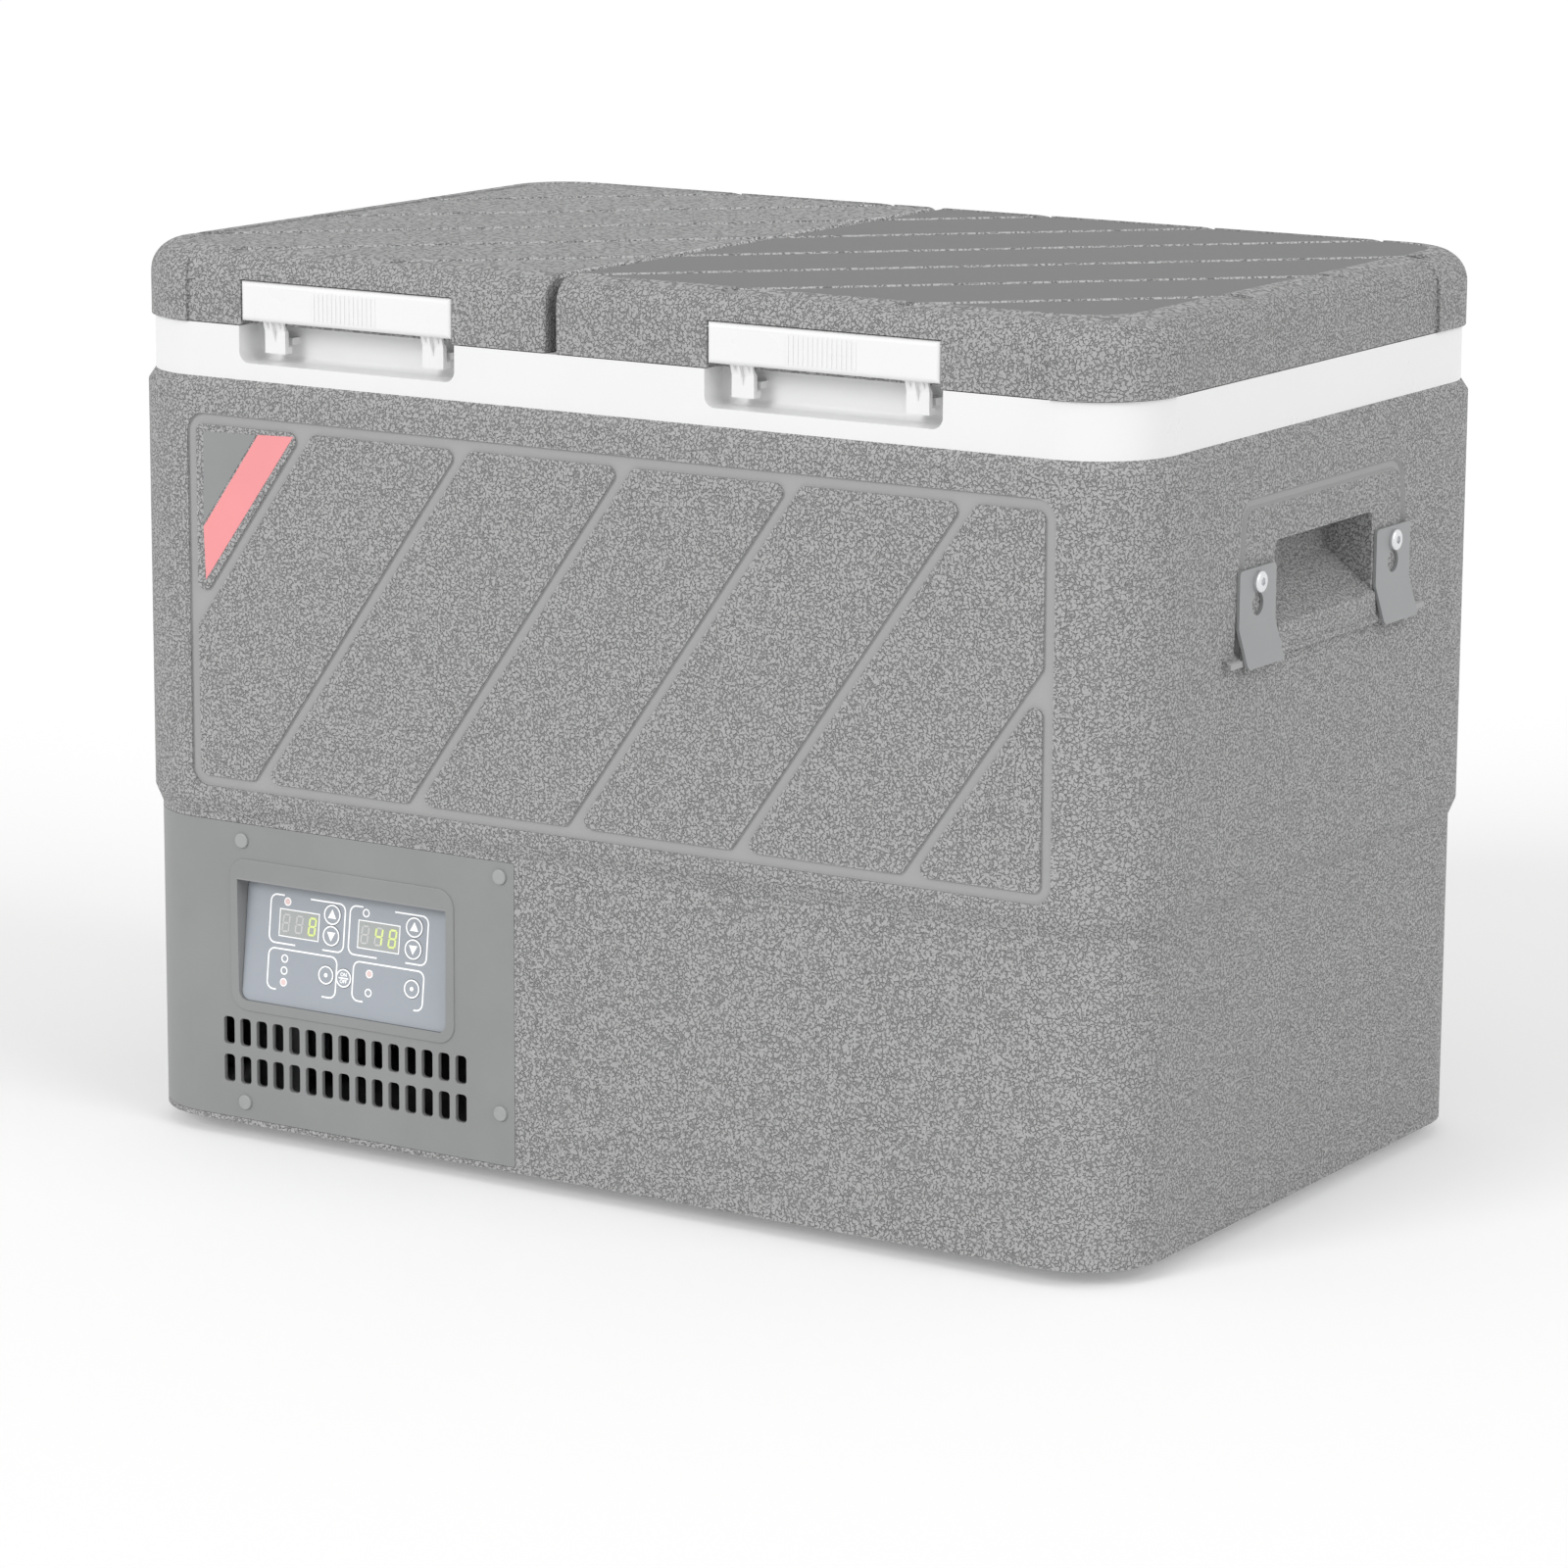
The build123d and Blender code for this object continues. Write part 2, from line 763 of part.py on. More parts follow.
def make_basket(side):
    """Lift-out basket of welded bars: two hoops round two rows of U-shaped bars."""
    x0, x1, floor_z = bins[side]
    middle = (x0 + x1) / 2
    half_x, half_y = (x1 - x0) / 2 - basket_gap, bin_half_y - basket_gap
    corner = bin_corner - basket_gap
    hoops = []
    for z in (basket_top - wire, (floor_z + basket_top) / 2):
        hoop = prism(half_x, half_y, corner, z, z + wire, x=middle)
        hoops.append(hoop - prism(half_x - wire, half_y - wire, corner - wire, z, z + wire, x=middle))
    basket = hoops[0] + hoops[1]

    def bar_points(half):
        """Outline of one U-shaped bar of the given half width."""
        out, inn, cut = half, half - wire, corner / 2
        return [
            (-out, basket_top),
            (-out, floor_z + cut),
            (-out + cut, floor_z),
            (out - cut, floor_z),
            (out, floor_z + cut),
            (out, basket_top),
            (inn, basket_top),
            (inn, floor_z + wire + cut - wire / 2),
            (inn - cut + wire / 2, floor_z + wire),
            (-inn + cut - wire / 2, floor_z + wire),
            (-inn, floor_z + wire + cut - wire / 2),
            (-inn, basket_top),
        ]

    flat_y, flat_x = half_y - corner, half_x - corner
    count_y = int(2 * flat_y // wire_pitch) + 1
    for index in range(count_y):
        y = -flat_y + 2 * flat_y * index / (count_y - 1)
        points = [(middle + x, z) for x, z in bar_points(half_x)]
        basket += across_y(points, y - wire / 2, y + wire / 2)
    count_x = int(2 * flat_x // wire_pitch) + 1
    for index in range(count_x):
        x = middle - flat_x + 2 * flat_x * index / (count_x - 1)
        basket += across_x(bar_points(half_y), x - wire / 2, x + wire / 2)
    nodes[f"{side}_basket"] = basket


def make_lamps():
    """One small lamp lens high on the back wall of each bin."""
    lenses = []
    for side in bins:
        x0, x1, _ = bins[side]
        middle = (x0 + x1) / 2
        face = Plane.XZ.offset(-bin_half_y) * Pos(middle, lamp_z)
        lenses.append(extrude(face * SlotOverall(lamp_length, lamp_height), lamp_depth))
    nodes["bin_lamps"] = Compound(lenses)


# ---------------------------------------------------------------- lids
def lid_form(side, inset, z0, grow=0.0, drop=0.0):
    """A lid's outline with its rounded top edge, moved in by inset or out by grow."""
    x0, x1, _ = lids[side]
    top = lid_top - inset - drop
    step = inset - grow
    form = collar_form(step, z0, top)
    far = 2 * case_half_x
    low_x, high_x = (-far, x1 - inset) if side == "left" else (x0 + inset, far)
    form = form & block(low_x, high_x, -case_half_y * 2, case_half_y * 2, z0, top)
    seam = high_x if side == "left" else low_x
    rim = [edge for edge in form.edges() if abs(edge.center().Z - top) < 0.01]
    form = fillet([edge for edge in rim if abs(edge.center().X - seam) > 1], lid_edge - step)
    if inset:
        return form
    on_seam = [
        edge
        for edge in form.edges()
        if abs(edge.center().X - seam) < 0.01 and edge.center().Z > z0 + 0.01
    ]
    return fillet(on_seam, seam_edge)


def latch_faces():
    """The y of the latch bar's front and back."""
    front = -collar_half_y - latch_proud
    return front, front + latch_depth


def latch_notch(side, grow):
    """The recess in a lid's front for its latch bar."""
    latch_x = lids[side][2]
    half = latch_half + latch_gap + grow
    back = latch_faces()[1] + latch_gap + grow
    top = latch_bottom + latch_height + latch_gap + grow
    front = -collar_half_y if grow else -2 * collar_half_y
    low = lid_bottom if grow else 0
    return block(latch_x - half, latch_x + half, front, back, low, top)


def hinge_arm_slots(side):
    """The room in a lid's inner parts for its two hinge arms."""
    half = knuckle_length / 2 + ear_gap
    front = collar_half_y - lid_wall - arm_thickness - ear_gap
    return [
        block(x - half, x + half, front, collar_half_y, 0, hinge_z + arm_rise + ear_gap)
        for x in hinge_places(side)
    ]


def pivot_holes(side, radius):
    """Short rods on the latch's pivot line, one at each end of the bar."""
    latch_x = lids[side][2]
    y, z = latch_pivot()
    reach = latch_half + latch_gap + pin_boss / 2
    return [
        rod((latch_x + sign * (latch_half - pin_boss), y, z), (latch_x + sign * reach, y, z), radius)
        for sign in (-1, 1)
    ]


def latch_pivot():
    """The (y, z) of the latch's pivot line, at the centre of the bar's rounded top edge."""
    return latch_faces()[0] + latch_corner, latch_bottom + latch_height - latch_corner


def lid_ribs():
    """Slanted grooves across both lid tops, as one cutter for each groove."""
    cutters = []
    length = 2 * (case_half_x + case_half_y)
    for index in range(-rib_count // 2, rib_count // 2):
        middle_y = (rib_offset + rib_pitch * index) / 2
        strip = Box(length, rib_width, 2 * rib_depth)
        cutters.append(Pos(-middle_y, middle_y, plateau_z) * Rot(0, 0, 45) * strip)
    return cutters


def make_lid(side):
    """A lid's outer moulding: rounded edges, corner pads, top plateau, grooves and latch notch."""
    shell = lid_form(side, 0, lid_bottom)
    pads = lid_form(side, 0, lid_bottom, grow=pad_proud, drop=pad_drop)
    sign = -1 if side == "left" else 1
    far = 2 * case_half_x
    spans = sorted((sign * pad_front_x, sign * far))
    front_box = block(*spans, -far, -pad_front_y, 0, far)
    back_box = block(*spans, pad_back_y, far, 0, far)
    shell += (pads & front_box) + (pads & back_box)
    shell -= lid_form(side, lid_wall, lid_bottom)
    shell += latch_notch(side, lid_wall) & lid_form(side, 0, lid_bottom)
    shell -= latch_notch(side, 0)
    for hole in pivot_holes(side, latch_pin_radius):
        shell -= hole
    plateau = prism(
        collar_half_x - plateau_side_in,
        collar_half_y - plateau_front_in,
        plateau_corner,
        plateau_z,
        lid_top,
    )
    shell -= plateau
    for cutter in lid_ribs():
        shell -= cutter
    nodes[f"{side}_lid_shell"] = shell

    panel_low = lid_bottom + panel_z
    panel_top = panel_low + panel_thickness
    plug_low = lid_bottom - plug_depth
    panel = lid_form(side, lid_wall, panel_low) & block(-far, far, -far, far, panel_low, panel_top)
    panel -= latch_notch(side, lid_wall)
    panel += bin_prism(side, -plug_margin, plug_low, panel_low)
    pan = bin_prism(side, -plug_margin - plug_wall, plug_low + plug_wall, panel_top)
    panel -= pan
    foam = lid_form(side, lid_wall, panel_top) - latch_notch(side, lid_wall)
    foam += pan
    for slot in hinge_arm_slots(side):
        panel -= slot
        foam -= slot
    nodes[f"{side}_lid_liner"] = panel
    nodes[f"{side}_lid_foam"] = foam

    middle = liner_wall + flange_width / 2
    seal_low = collar_top + gasket_gap
    gasket = bin_prism(side, middle + gasket_width / 2, seal_low, panel_low)
    gasket -= bin_prism(side, middle - gasket_width / 2, seal_low, panel_low)
    nodes[f"{side}_lid_gasket"] = gasket


def make_hinges(side):
    """A lid's two hinges: brackets in the collar, arms in the lid and the pins between them."""
    brackets, arms, pins = [], [], []
    floor_z = collar_top - pocket_floor_drop
    inner_face = collar_half_y - lid_wall
    half_knuckle = knuckle_length / 2
    half_all = half_knuckle + ear_gap + ear_length
    for x in hinge_places(side):
        axis = [(x - half_all, hinge_y, hinge_z), (x + half_all, hinge_y, hinge_z)]
        bracket = block(
            x - half_all,
            x + half_all,
            hinge_y - knuckle_radius - arm_thickness,
            collar_half_y,
            floor_z,
            floor_z + panel_thickness,
        )
        for x0 in (x - half_all, x + half_knuckle + ear_gap):
            x1 = x0 + ear_length
            bracket += block(x0, x1, hinge_y - knuckle_radius, hinge_y + knuckle_radius, floor_z, hinge_z)
            bracket += rod((x0, hinge_y, hinge_z), (x1, hinge_y, hinge_z), knuckle_radius)
        brackets.append(bracket - rod(*axis, pin_radius + pin_gap))
        arm = rod(
            (x - half_knuckle, hinge_y, hinge_z), (x + half_knuckle, hinge_y, hinge_z), knuckle_radius
        )
        arm += block(
            x - half_knuckle,
            x + half_knuckle,
            inner_face - arm_thickness,
            inner_face,
            hinge_z,
            hinge_z + arm_rise,
        )
        arms.append(arm - rod(*axis, pin_radius + pin_gap))
        pins.append(rod(*axis, pin_radius))
    nodes[f"{side}_hinge_brackets"] = Compound(brackets)
    nodes[f"{side}_hinge_arms"] = Compound(arms)
    nodes[f"{side}_hinge_pins"] = Compound(pins)


def make_latch(side):
    """Latch bar with its grip ribs and two hooked legs, and the pins it swings on."""
    latch_x = lids[side][2]
    front, back = latch_faces()
    top = latch_bottom + latch_height
    bar = block(latch_x - latch_half, latch_x + latch_half, front, back, latch_bottom, top)
    long_edges = bar.edges().filter_by(Axis.X).group_by(Axis.Z)
    end_edges = bar.edges().filter_by(Axis.Z).group_by(Axis.Y)[0]
    bar = fillet(long_edges[-1] + long_edges[0].sort_by(Axis.Y)[:1] + end_edges, latch_corner)
    inside = lid_wall - latch_proud
    hollow = block(
        latch_x - latch_half + pin_boss + inside,
        latch_x + latch_half - pin_boss - inside,
        front + inside,
        back + 1,
        latch_bottom + inside,
        top - 2 * latch_corner,
    )
    bar -= hollow
    for leg_x in (latch_x - leg_offset, latch_x + leg_offset):
        x0, x1 = leg_x - leg_width / 2, leg_x + leg_width / 2
        bar += block(x0, x1, front + inside, back, latch_bottom, top - 2 * latch_corner)
        bar += across_x(leg_profile(), x0, x1)
        bar += block(x0, x1, back, hook_tip_y(), leg_bottom, leg_bottom + hook_height)
        for index, tip in enumerate(gusset_tips):
            bar += gusset(leg_x + (index - len(gusset_tips) // 2) * gusset_pitch, tip)
    first = -int(grip_half // grip_pitch)
    middle_z = latch_bottom + latch_height / 2
    for index in range(first, -first + 1):
        x = latch_x + index * grip_pitch
        bar += block(
            x - grip_rib / 2,
            x + grip_rib / 2,
            front - grip_proud,
            front + 1,
            middle_z - grip_height / 2,
            middle_z + grip_height / 2,
        )
    for hole in pivot_holes(side, latch_pin_radius + pin_gap):
        bar -= hole
    nodes[f"{side}_latch"] = bar
    nodes[f"{side}_latch_pins"] = Compound(pivot_holes(side, latch_pin_radius))


def leg_profile():
    """Side outline of a leg: it leaves the bar's back, steps in under the lid and hangs straight down."""
    back = latch_faces()[1]
    under_lid = lid_bottom - latch_gap
    return [
        (-leg_front - leg_root, latch_bottom + 1),
        (back, latch_bottom + 1),
        (back, under_lid),
        (back + leg_back, under_lid - leg_back),
        (back + leg_back, leg_bottom),
        (-leg_front, leg_bottom),
        (-leg_front, under_lid - leg_back),
    ]


def gusset(x, tip):
    """A thin rib under the bar that runs out on the front of a leg, the tip's height above its end."""
    points = [
        (-leg_front + 1, latch_bottom + 1),
        (-leg_front - gusset_proud, latch_bottom + 1),
        (-leg_front, leg_bottom + tip),
        (-leg_front + 1, leg_bottom + tip),
    ]
    return across_x(points, x - gusset_thickness / 2, x + gusset_thickness / 2)


# ---------------------------------------------------------------- side handles
def make_keyhole_plates():
    """Four bent plates that hang on the handle screws by keyhole slots, and the screws."""
    face = case_half_x + plate_gap
    outer = face + plate_thickness
    points = [
        (face, plate_top),
        (outer, plate_top),
        (outer, plate_bend),
        (outer + plate_flare, plate_bottom),
        (face + plate_flare, plate_bottom),
        (face, plate_bend),
    ]
    screws = []
    for corner, y in (("front", -plate_offset), ("rear", plate_offset)):
        plate = across_y(points, y - plate_width / 2, y + plate_width / 2)
        corners = plate.edges().filter_by(Axis.X)
        plate = fillet(corners, plate_corner)
        low_z = screw_z - plate_travel
        plate -= rod((face - 1, y, low_z), (outer + 1, y, low_z), keyhole_radius)
        plate -= rod((face - 1, y, screw_z), (outer + 1, y, screw_z), keyhole_slot)
        plate -= block(face - 1, outer + 1, y - keyhole_slot, y + keyhole_slot, low_z, screw_z)
        nodes[f"right_{corner}_keyhole_plate"] = plate
        nodes[f"left_{corner}_keyhole_plate"] = mirrored(plate)
        seat = outer + plate_gap / 3
        screw = rod((seat, y, screw_z), (seat + screw_head_height, y, screw_z), screw_head)
        screw = fillet(screw.edges().group_by(Axis.X)[-1], screw_head_height / 2)
        screw += rod((seat - screw_length, y, screw_z), (seat, y, screw_z), screw_radius - pin_gap)
        socket = Plane((seat + screw_head_height, y, screw_z), z_dir=(-1, 0, 0))
        screw -= extrude(socket * RegularPolygon(screw_socket, 6), screw_head_height / 2)
        screws += [screw, mirrored(screw)]
    nodes["handle_screws"] = Compound(screws)


# ---------------------------------------------------------------- control cover and display
def panel_plane(depth=0.0):
    """The display's plane, leaning back, moved inward by depth; local Y runs up the glass."""
    face = -(case_half_y - step_in)
    rise = display_top - display_bottom
    lean = display_depth_high - display_depth_low
    normal = Vector(0, -rise, lean).normalized()
    middle = Vector(
        (display_left + display_right) / 2,
        face + (display_depth_low + display_depth_high) / 2,
        (display_bottom + display_top) / 2,
    )
    return Plane(middle - normal * depth, x_dir=(1, 0, 0), z_dir=normal)


def panel_size():
    """Width and height of the display recess, along the leaning plane."""
    rise = display_top - display_bottom
    return display_right - display_left, math.hypot(rise, display_depth_high - display_depth_low)


def button_places():
    """Name, local (x, y) on the panel and radius of each button."""
    width, height = panel_size()
    shares = {
        "left_up_button": (0.42, 0.20, arrow_radius),
        "left_down_button": (0.42, 0.372, arrow_radius),
        "right_up_button": (0.816, 0.198, arrow_radius),
        "right_down_button": (0.816, 0.375, arrow_radius),
        "battery_set_button": (0.406, 0.694, small_radius),
        "power_button": (0.492, 0.696, small_radius),
        "speed_set_button": (0.821, 0.692, small_radius),
    }
    return {
        name: ((across - 0.5) * width, (0.5 - down) * height, radius)
        for name, (across, down, radius) in shares.items()
    }


def display_rim():
    """A low soft-edged frame on the cover round the display."""
    face = -(case_half_y - step_in)
    brow_top = display_top + display_brow
    width = display_right - display_left + 2 * rim_width
    height = brow_top - display_bottom + 2 * rim_width
    middle = Pos((display_left + display_right) / 2, (brow_top + display_bottom) / 2)
    front = Plane((0, face, 0), x_dir=(1, 0, 0), z_dir=(0, -1, 0))
    rim = extrude(front * middle * RectangleRounded(width, height, rim_corner), rim_proud)
    edge = rim.faces().sort_by(Axis.Y)[0].edges()
    return fillet(edge, rim_proud * 0.9)


def make_cover():
    """Smooth cover over the machine bay: wraps the corner, holds the display and the air slots."""
    half_y = case_half_y - step_in
    cover = lower_ring(0, cover_wall) & cover_region(0, 0)
    back = -half_y + display_box_depth
    cover += block(
        display_left - display_frame,
        display_right + display_frame,
        -half_y + cover_wall / 2,
        back,
        display_bottom - display_frame,
        display_top + display_frame,
    )
    cover += display_rim()
    width, height = panel_size()
    opening = RectangleRounded(width, height, display_radius)
    brow = RectangleRounded(width + 2 * display_side, height + display_brow, display_radius)
    glass_face = panel_plane(glass_thickness) * opening
    cover -= loft([glass_face, panel_plane(-display_depth_high - rim_proud) * Pos(0, display_brow / 2) * brow])
    for x, y, radius in button_places().values():
        seat = panel_plane(glass_thickness) * Pos(x, y) * Circle(radius + button_gap)
        cover -= extrude(seat, -2 * button_travel)
    front = Plane((0, -half_y, 0), x_dir=(1, 0, 0), z_dir=(0, -1, 0))
    for row_z in vent_rows:
        for index in range(vent_columns):
            slot = RectangleRounded(vent_width, vent_height, vent_corner)
            place = front * Pos(vent_first_x + index * vent_pitch, row_z)
            cover -= extrude(place * slot, -cover_wall, both=True)
    for x, z in cover_screw_points:
        cover -= rod((x, -half_y - 1, z), (x, -half_y + cover_wall + 1, z), cover_screw_radius)
    nodes["control_cover"] = cover

    pane = RectangleRounded(width - glass_gap, height - glass_gap, display_radius)
    glass = extrude(panel_plane(glass_thickness) * pane, glass_thickness)
    for name, (x, y, radius) in button_places().items():
        seat = panel_plane(glass_thickness) * Pos(x, y)
        glass -= extrude(seat * Circle(radius + button_gap), glass_thickness)
        nodes[name] = extrude(seat * Circle(radius), glass_thickness + button_proud)
    nodes["display_panel"] = glass
    nodes["control_board"] = block(
        display_left,
        display_right,
        back,
        back + board_thickness,
        display_bottom,
        display_top,
    )
    screws = []
    for x, z in cover_screw_points:
        head = rod((x, -half_y, z), (x, -half_y - cover_screw_rise, z), cover_screw_head)
        head = fillet(head.edges().group_by(Axis.Y)[0], cover_screw_rise / 2)
        shank = rod((x, -half_y, z), (x, -half_y + cover_screw_length, z), cover_screw_radius - pin_gap)
        screws.append(head + shank)
    nodes["cover_screws"] = Compound(screws)


# ---------------------------------------------------------------- machine bay
def make_bay():
    """Base plate and bent partition of the machine bay."""
    clear = cover_wall + cover_gap + case_wall + cover_gap
    half_x, half_y = case_half_x - step_in - clear, case_half_y - step_in - clear
    base_low = foot_height + case_wall
    plate = prism(half_x, half_y, case_corner - step_in - clear, base_low, bay_floor)
    nodes["base_plate"] = plate & block(-case_half_x, bay_right, -case_half_y, case_half_y, 0, bay_floor)
    depth = case_half_y - step_in - case_wall
    across = case_half_x - step_in - case_wall
    upright = block(bay_right, bay_right + bay_sheet, -depth, depth, base_low, bay_top + bay_sheet)
    ceiling = block(-case_half_x, bay_right, -depth, depth, bay_top, bay_top + bay_sheet)
    ceiling = ceiling & prism(across, depth, case_corner - step_in - case_wall, 0, case_top)
    nodes["bay_partition"] = upright + ceiling


def make_compressor():
    """Hermetic compressor on four rubber mounts with their bolts."""
    foot_low = bay_floor + mount_height
    can_low = foot_low + compressor_foot
    place = Pos(compressor_x, compressor_y, 0)
    can = Pos(0, 0, can_low) * extrude(Circle(compressor_radius), compressor_height)
    can = fillet(can.edges().group_by(Axis.Z)[-1], compressor_crown)
    can = fillet(can.edges().group_by(Axis.Z)[0], compressor_base)
    seam = Pos(0, 0, can_low + compressor_height / 2) * extrude(
        Circle(compressor_radius + compressor_foot), compressor_foot
    )
    foot = prism(compressor_foot_half, compressor_foot_half, mount_radius, foot_low, can_low)
    half = mount_pitch / 2
    corners = [(x, y) for x in (-half, half) for y in (-half, half)]
    mounts, bolts = [], []
    for x, y in corners:
        foot -= Pos(x, y, foot_low) * extrude(Circle(bolt_radius + pin_gap), compressor_foot)
        mount = Pos(x, y, bay_floor) * extrude(Circle(mount_radius), mount_height)
        mount -= Pos(x, y, bay_floor) * extrude(Circle(bolt_radius + pin_gap), mount_height)
        mounts.append(place * mount)
        bolt = Pos(x, y, bay_floor) * extrude(Circle(bolt_radius), mount_height + compressor_foot)
        bolt += Pos(x, y, can_low) * extrude(RegularPolygon(2 * bolt_radius, 6), bolt_radius)
        bolts.append(place * bolt)
    box = block(
        compressor_radius - compressor_foot,
        compressor_radius + 4 * compressor_foot,
        -mount_radius,
        mount_radius * 2,
        can_low + compressor_height / 4,
        can_low + compressor_height / 2 - compressor_foot,
    )
    nodes["compressor"] = place * (can + seam + foot + box)
    nodes["compressor_mounts"] = Compound(mounts)
    nodes["compressor_bolts"] = Compound(bolts)


def make_condenser():
    """Finned condenser on two end plates."""
    x0, x1 = condenser_x
    y0, y1 = condenser_y
    low = bay_floor + condenser_stand
    high = low + condenser_height
    core = block((2 * x0 + x1) / 3, (x0 + 2 * x1) / 3, y0, y1, low, high)
    pitch = (y1 - y0 - fin_thickness) / (fin_count - 1)
    for index in range(1, fin_count - 1):
        y = y0 + index * pitch
        core += block(x0, x1, y, y + fin_thickness, low, high)
    for y in (y0, y1 - fin_thickness):
        core += block(x0, x1, y, y + fin_thickness, bay_floor, high)
    nodes["condenser"] = core


def make_fan():
    """Axial fan that draws air through the condenser: square frame, motor, shaft and rotor."""
    x1 = condenser_x[0]
    x0 = x1 - fan_depth
    y = (condenser_y[0] + condenser_y[1]) / 2
    z = bay_floor + condenser_stand + condenser_height / 2
    motor_x = x1 - fan_depth / 3
    half = fan_size / 2
    frame = block(x0, x1, y - half, y + half, z - half, z + half)
    frame -= rod((x0 - 1, y, z), (x1 + 1, y, z), fan_bore)
    motor = rod((motor_x, y, z), (x1, y, z), fan_motor)
    strut = Pos(0, 0, fan_bore / 2) * Box(x1 - motor_x, fan_strut, fan_bore + fan_strut)
    strut = Pos((motor_x + x1) / 2, y, z) * strut
    centre = Axis((0, y, z), (1, 0, 0))
    for turn in (45, 165, 285):
        frame += strut.rotate(centre, turn)
    frame += motor
    frame += rod((x0 + blade_gap, y, z), (motor_x, y, z), fan_shaft)
    nodes["fan_frame"] = frame
    hub_x0, hub_x1 = x0 + blade_gap, motor_x - blade_gap
    rotor = rod((hub_x0, y, z), (hub_x1, y, z), fan_hub)
    reach = fan_bore - blade_gap - fan_hub / 2
    chord = hub_x1 - hub_x0
    blade = Pos(0, 0, fan_hub / 2 + reach / 2) * Rot(0, 0, fan_twist) * Box(chord, blade_gap, reach)
    blade = Pos((hub_x0 + hub_x1) / 2, y, z) * blade
    for index in range(fan_blades):
        rotor += blade.rotate(centre, 360 * index / fan_blades)
    nodes["fan_rotor"] = rotor - rod((hub_x0 - 1, y, z), (hub_x1 + 1, y, z), fan_shaft + pin_gap)


def pipe(points):
    """A bent pipe with eight flats, round tight bends."""
    path = FilletPolyline(*points, radius=pipe_bend)
    start = Vector(*points[0])
    heading = Vector(*points[1]) - start
    return sweep(Plane(start, z_dir=heading) * RegularPolygon(pipe_radius, 8), path)


def make_refrigerant_parts():
    """Filter drier and the pipes between compressor, condenser, drier and evaporators."""
    pipe_x = (condenser_x[0] + condenser_x[1]) / 2
    end_y = condenser_y[1]
    near_y = compressor_y - compressor_radius
    turn_y = near_y - 2 * pipe_bend - drier_radius
    drier_y = turn_y + pipe_radius + drier_radius + drier_clear
    low_z = bay_floor + condenser_stand + condenser_height / 5
    high_z = low_z + condenser_height / 2
    drier_low = low_z + pipe_bend + drier_radius
    drier = Pos(pipe_x, drier_y, drier_low) * extrude(Circle(drier_radius), drier_length)
    for edges in (drier.edges().group_by(Axis.Z)[0], drier.edges().group_by(Axis.Z)[-1]):
        drier = chamfer(edges, drier_radius / 3)
    nodes["filter_drier"] = drier
    discharge = pipe(
        [
            (compressor_x, near_y, high_z),
            (compressor_x, turn_y, high_z),
            (pipe_x, turn_y, high_z),
            (pipe_x, end_y, high_z),
        ]
    )
    liquid = pipe([(pipe_x, end_y, low_z), (pipe_x, drier_y, low_z), (pipe_x, drier_y, drier_low)])
    drier_top = drier_low + drier_length
    riser = Pos(pipe_x, drier_y, drier_top) * extrude(RegularPolygon(pipe_radius, 8), bay_top - drier_top)
    near_x = compressor_x - compressor_radius
    suction = pipe(
        [
            (near_x, compressor_y, high_z),
            (near_x - 2 * pipe_bend, compressor_y, high_z),
            (near_x - 2 * pipe_bend, compressor_y, bay_top),
        ]
    )
    nodes["copper_pipes"] = Compound([discharge, liquid, riser, suction])


def make_inverter():
    """Compressor driver in a finned housing on the partition."""
    y0, y1 = inverter_y
    z0, z1 = inverter_z
    half = inverter_depth / 2
    body = block(bay_right - half, bay_right, y0, y1, z0, z1)
    count = int((y1 - y0) // inverter_fin_pitch)
    for index in range(count + 1):
        y = y0 + index * (y1 - y0 - 2 * fin_thickness) / count
        body += block(bay_right - inverter_depth, bay_right - half, y, y + 2 * fin_thickness, z0, z1)
    nodes["compressor_driver"] = body


def make_inlets():
    """Power inlet block on the left side, with a socket for each supply and their pins."""
    outside = -(case_half_x - step_in)
    half_w, half_h = inlet_width / 2 - cover_gap, inlet_height / 2 - cover_gap
    body = block(
        outside,
        outside + inlet_depth,
        inlet_y - half_w,
        inlet_y + half_w,
        inlet_z - half_h,
        inlet_z + half_h,
    )
    rim = inlet_rim
    body += block(
        outside - rim / 2,
        outside,
        inlet_y - half_w - rim,
        inlet_y + half_w + rim,
        inlet_z - half_h - rim,
        inlet_z + half_h + rim,
    )
    pins = []
    deep = outside + inlet_depth - 2 * rim
    for offset in (-inlet_width / 4, inlet_width / 4):
        y = inlet_y + offset
        body -= block(
            outside - rim,
            deep,
            y - socket_width / 2,
            y + socket_width / 2,
            inlet_z - socket_height / 2,
            inlet_z + socket_height / 2,
        )
        for pin_y in (y - socket_width / 4, y + socket_width / 4):
            pins.append(rod((deep, pin_y, inlet_z), (outside + rim, pin_y, inlet_z), socket_pin))
    nodes["power_inlet"] = body
    nodes["inlet_pins"] = Compound(pins)


def make_feet():
    """Four rubber feet under the case."""
    x, y = case_half_x - foot_inset, case_half_y - foot_inset
    feet = []
    for foot_x in (-x, x):
        for foot_y in (-y, y):
            foot = Pos(foot_x, foot_y, 0) * extrude(Circle(foot_radius), foot_height)
            feet.append(chamfer(foot.edges().group_by(Axis.Z)[0], foot_chamfer))
    nodes["feet"] = Compound(feet)


make_case()
make_collar()
make_foam()
for name in bins:
    make_liner(name)
    make_evaporator(name)
    make_basket(name)
    make_lid(name)
    make_hinges(name)
    make_latch(name)
make_lamps()
make_keyhole_plates()
make_cover()
make_bay()
make_compressor()
make_condenser()
make_fan()
make_refrigerant_parts()
make_inverter()
make_inlets()
make_feet()

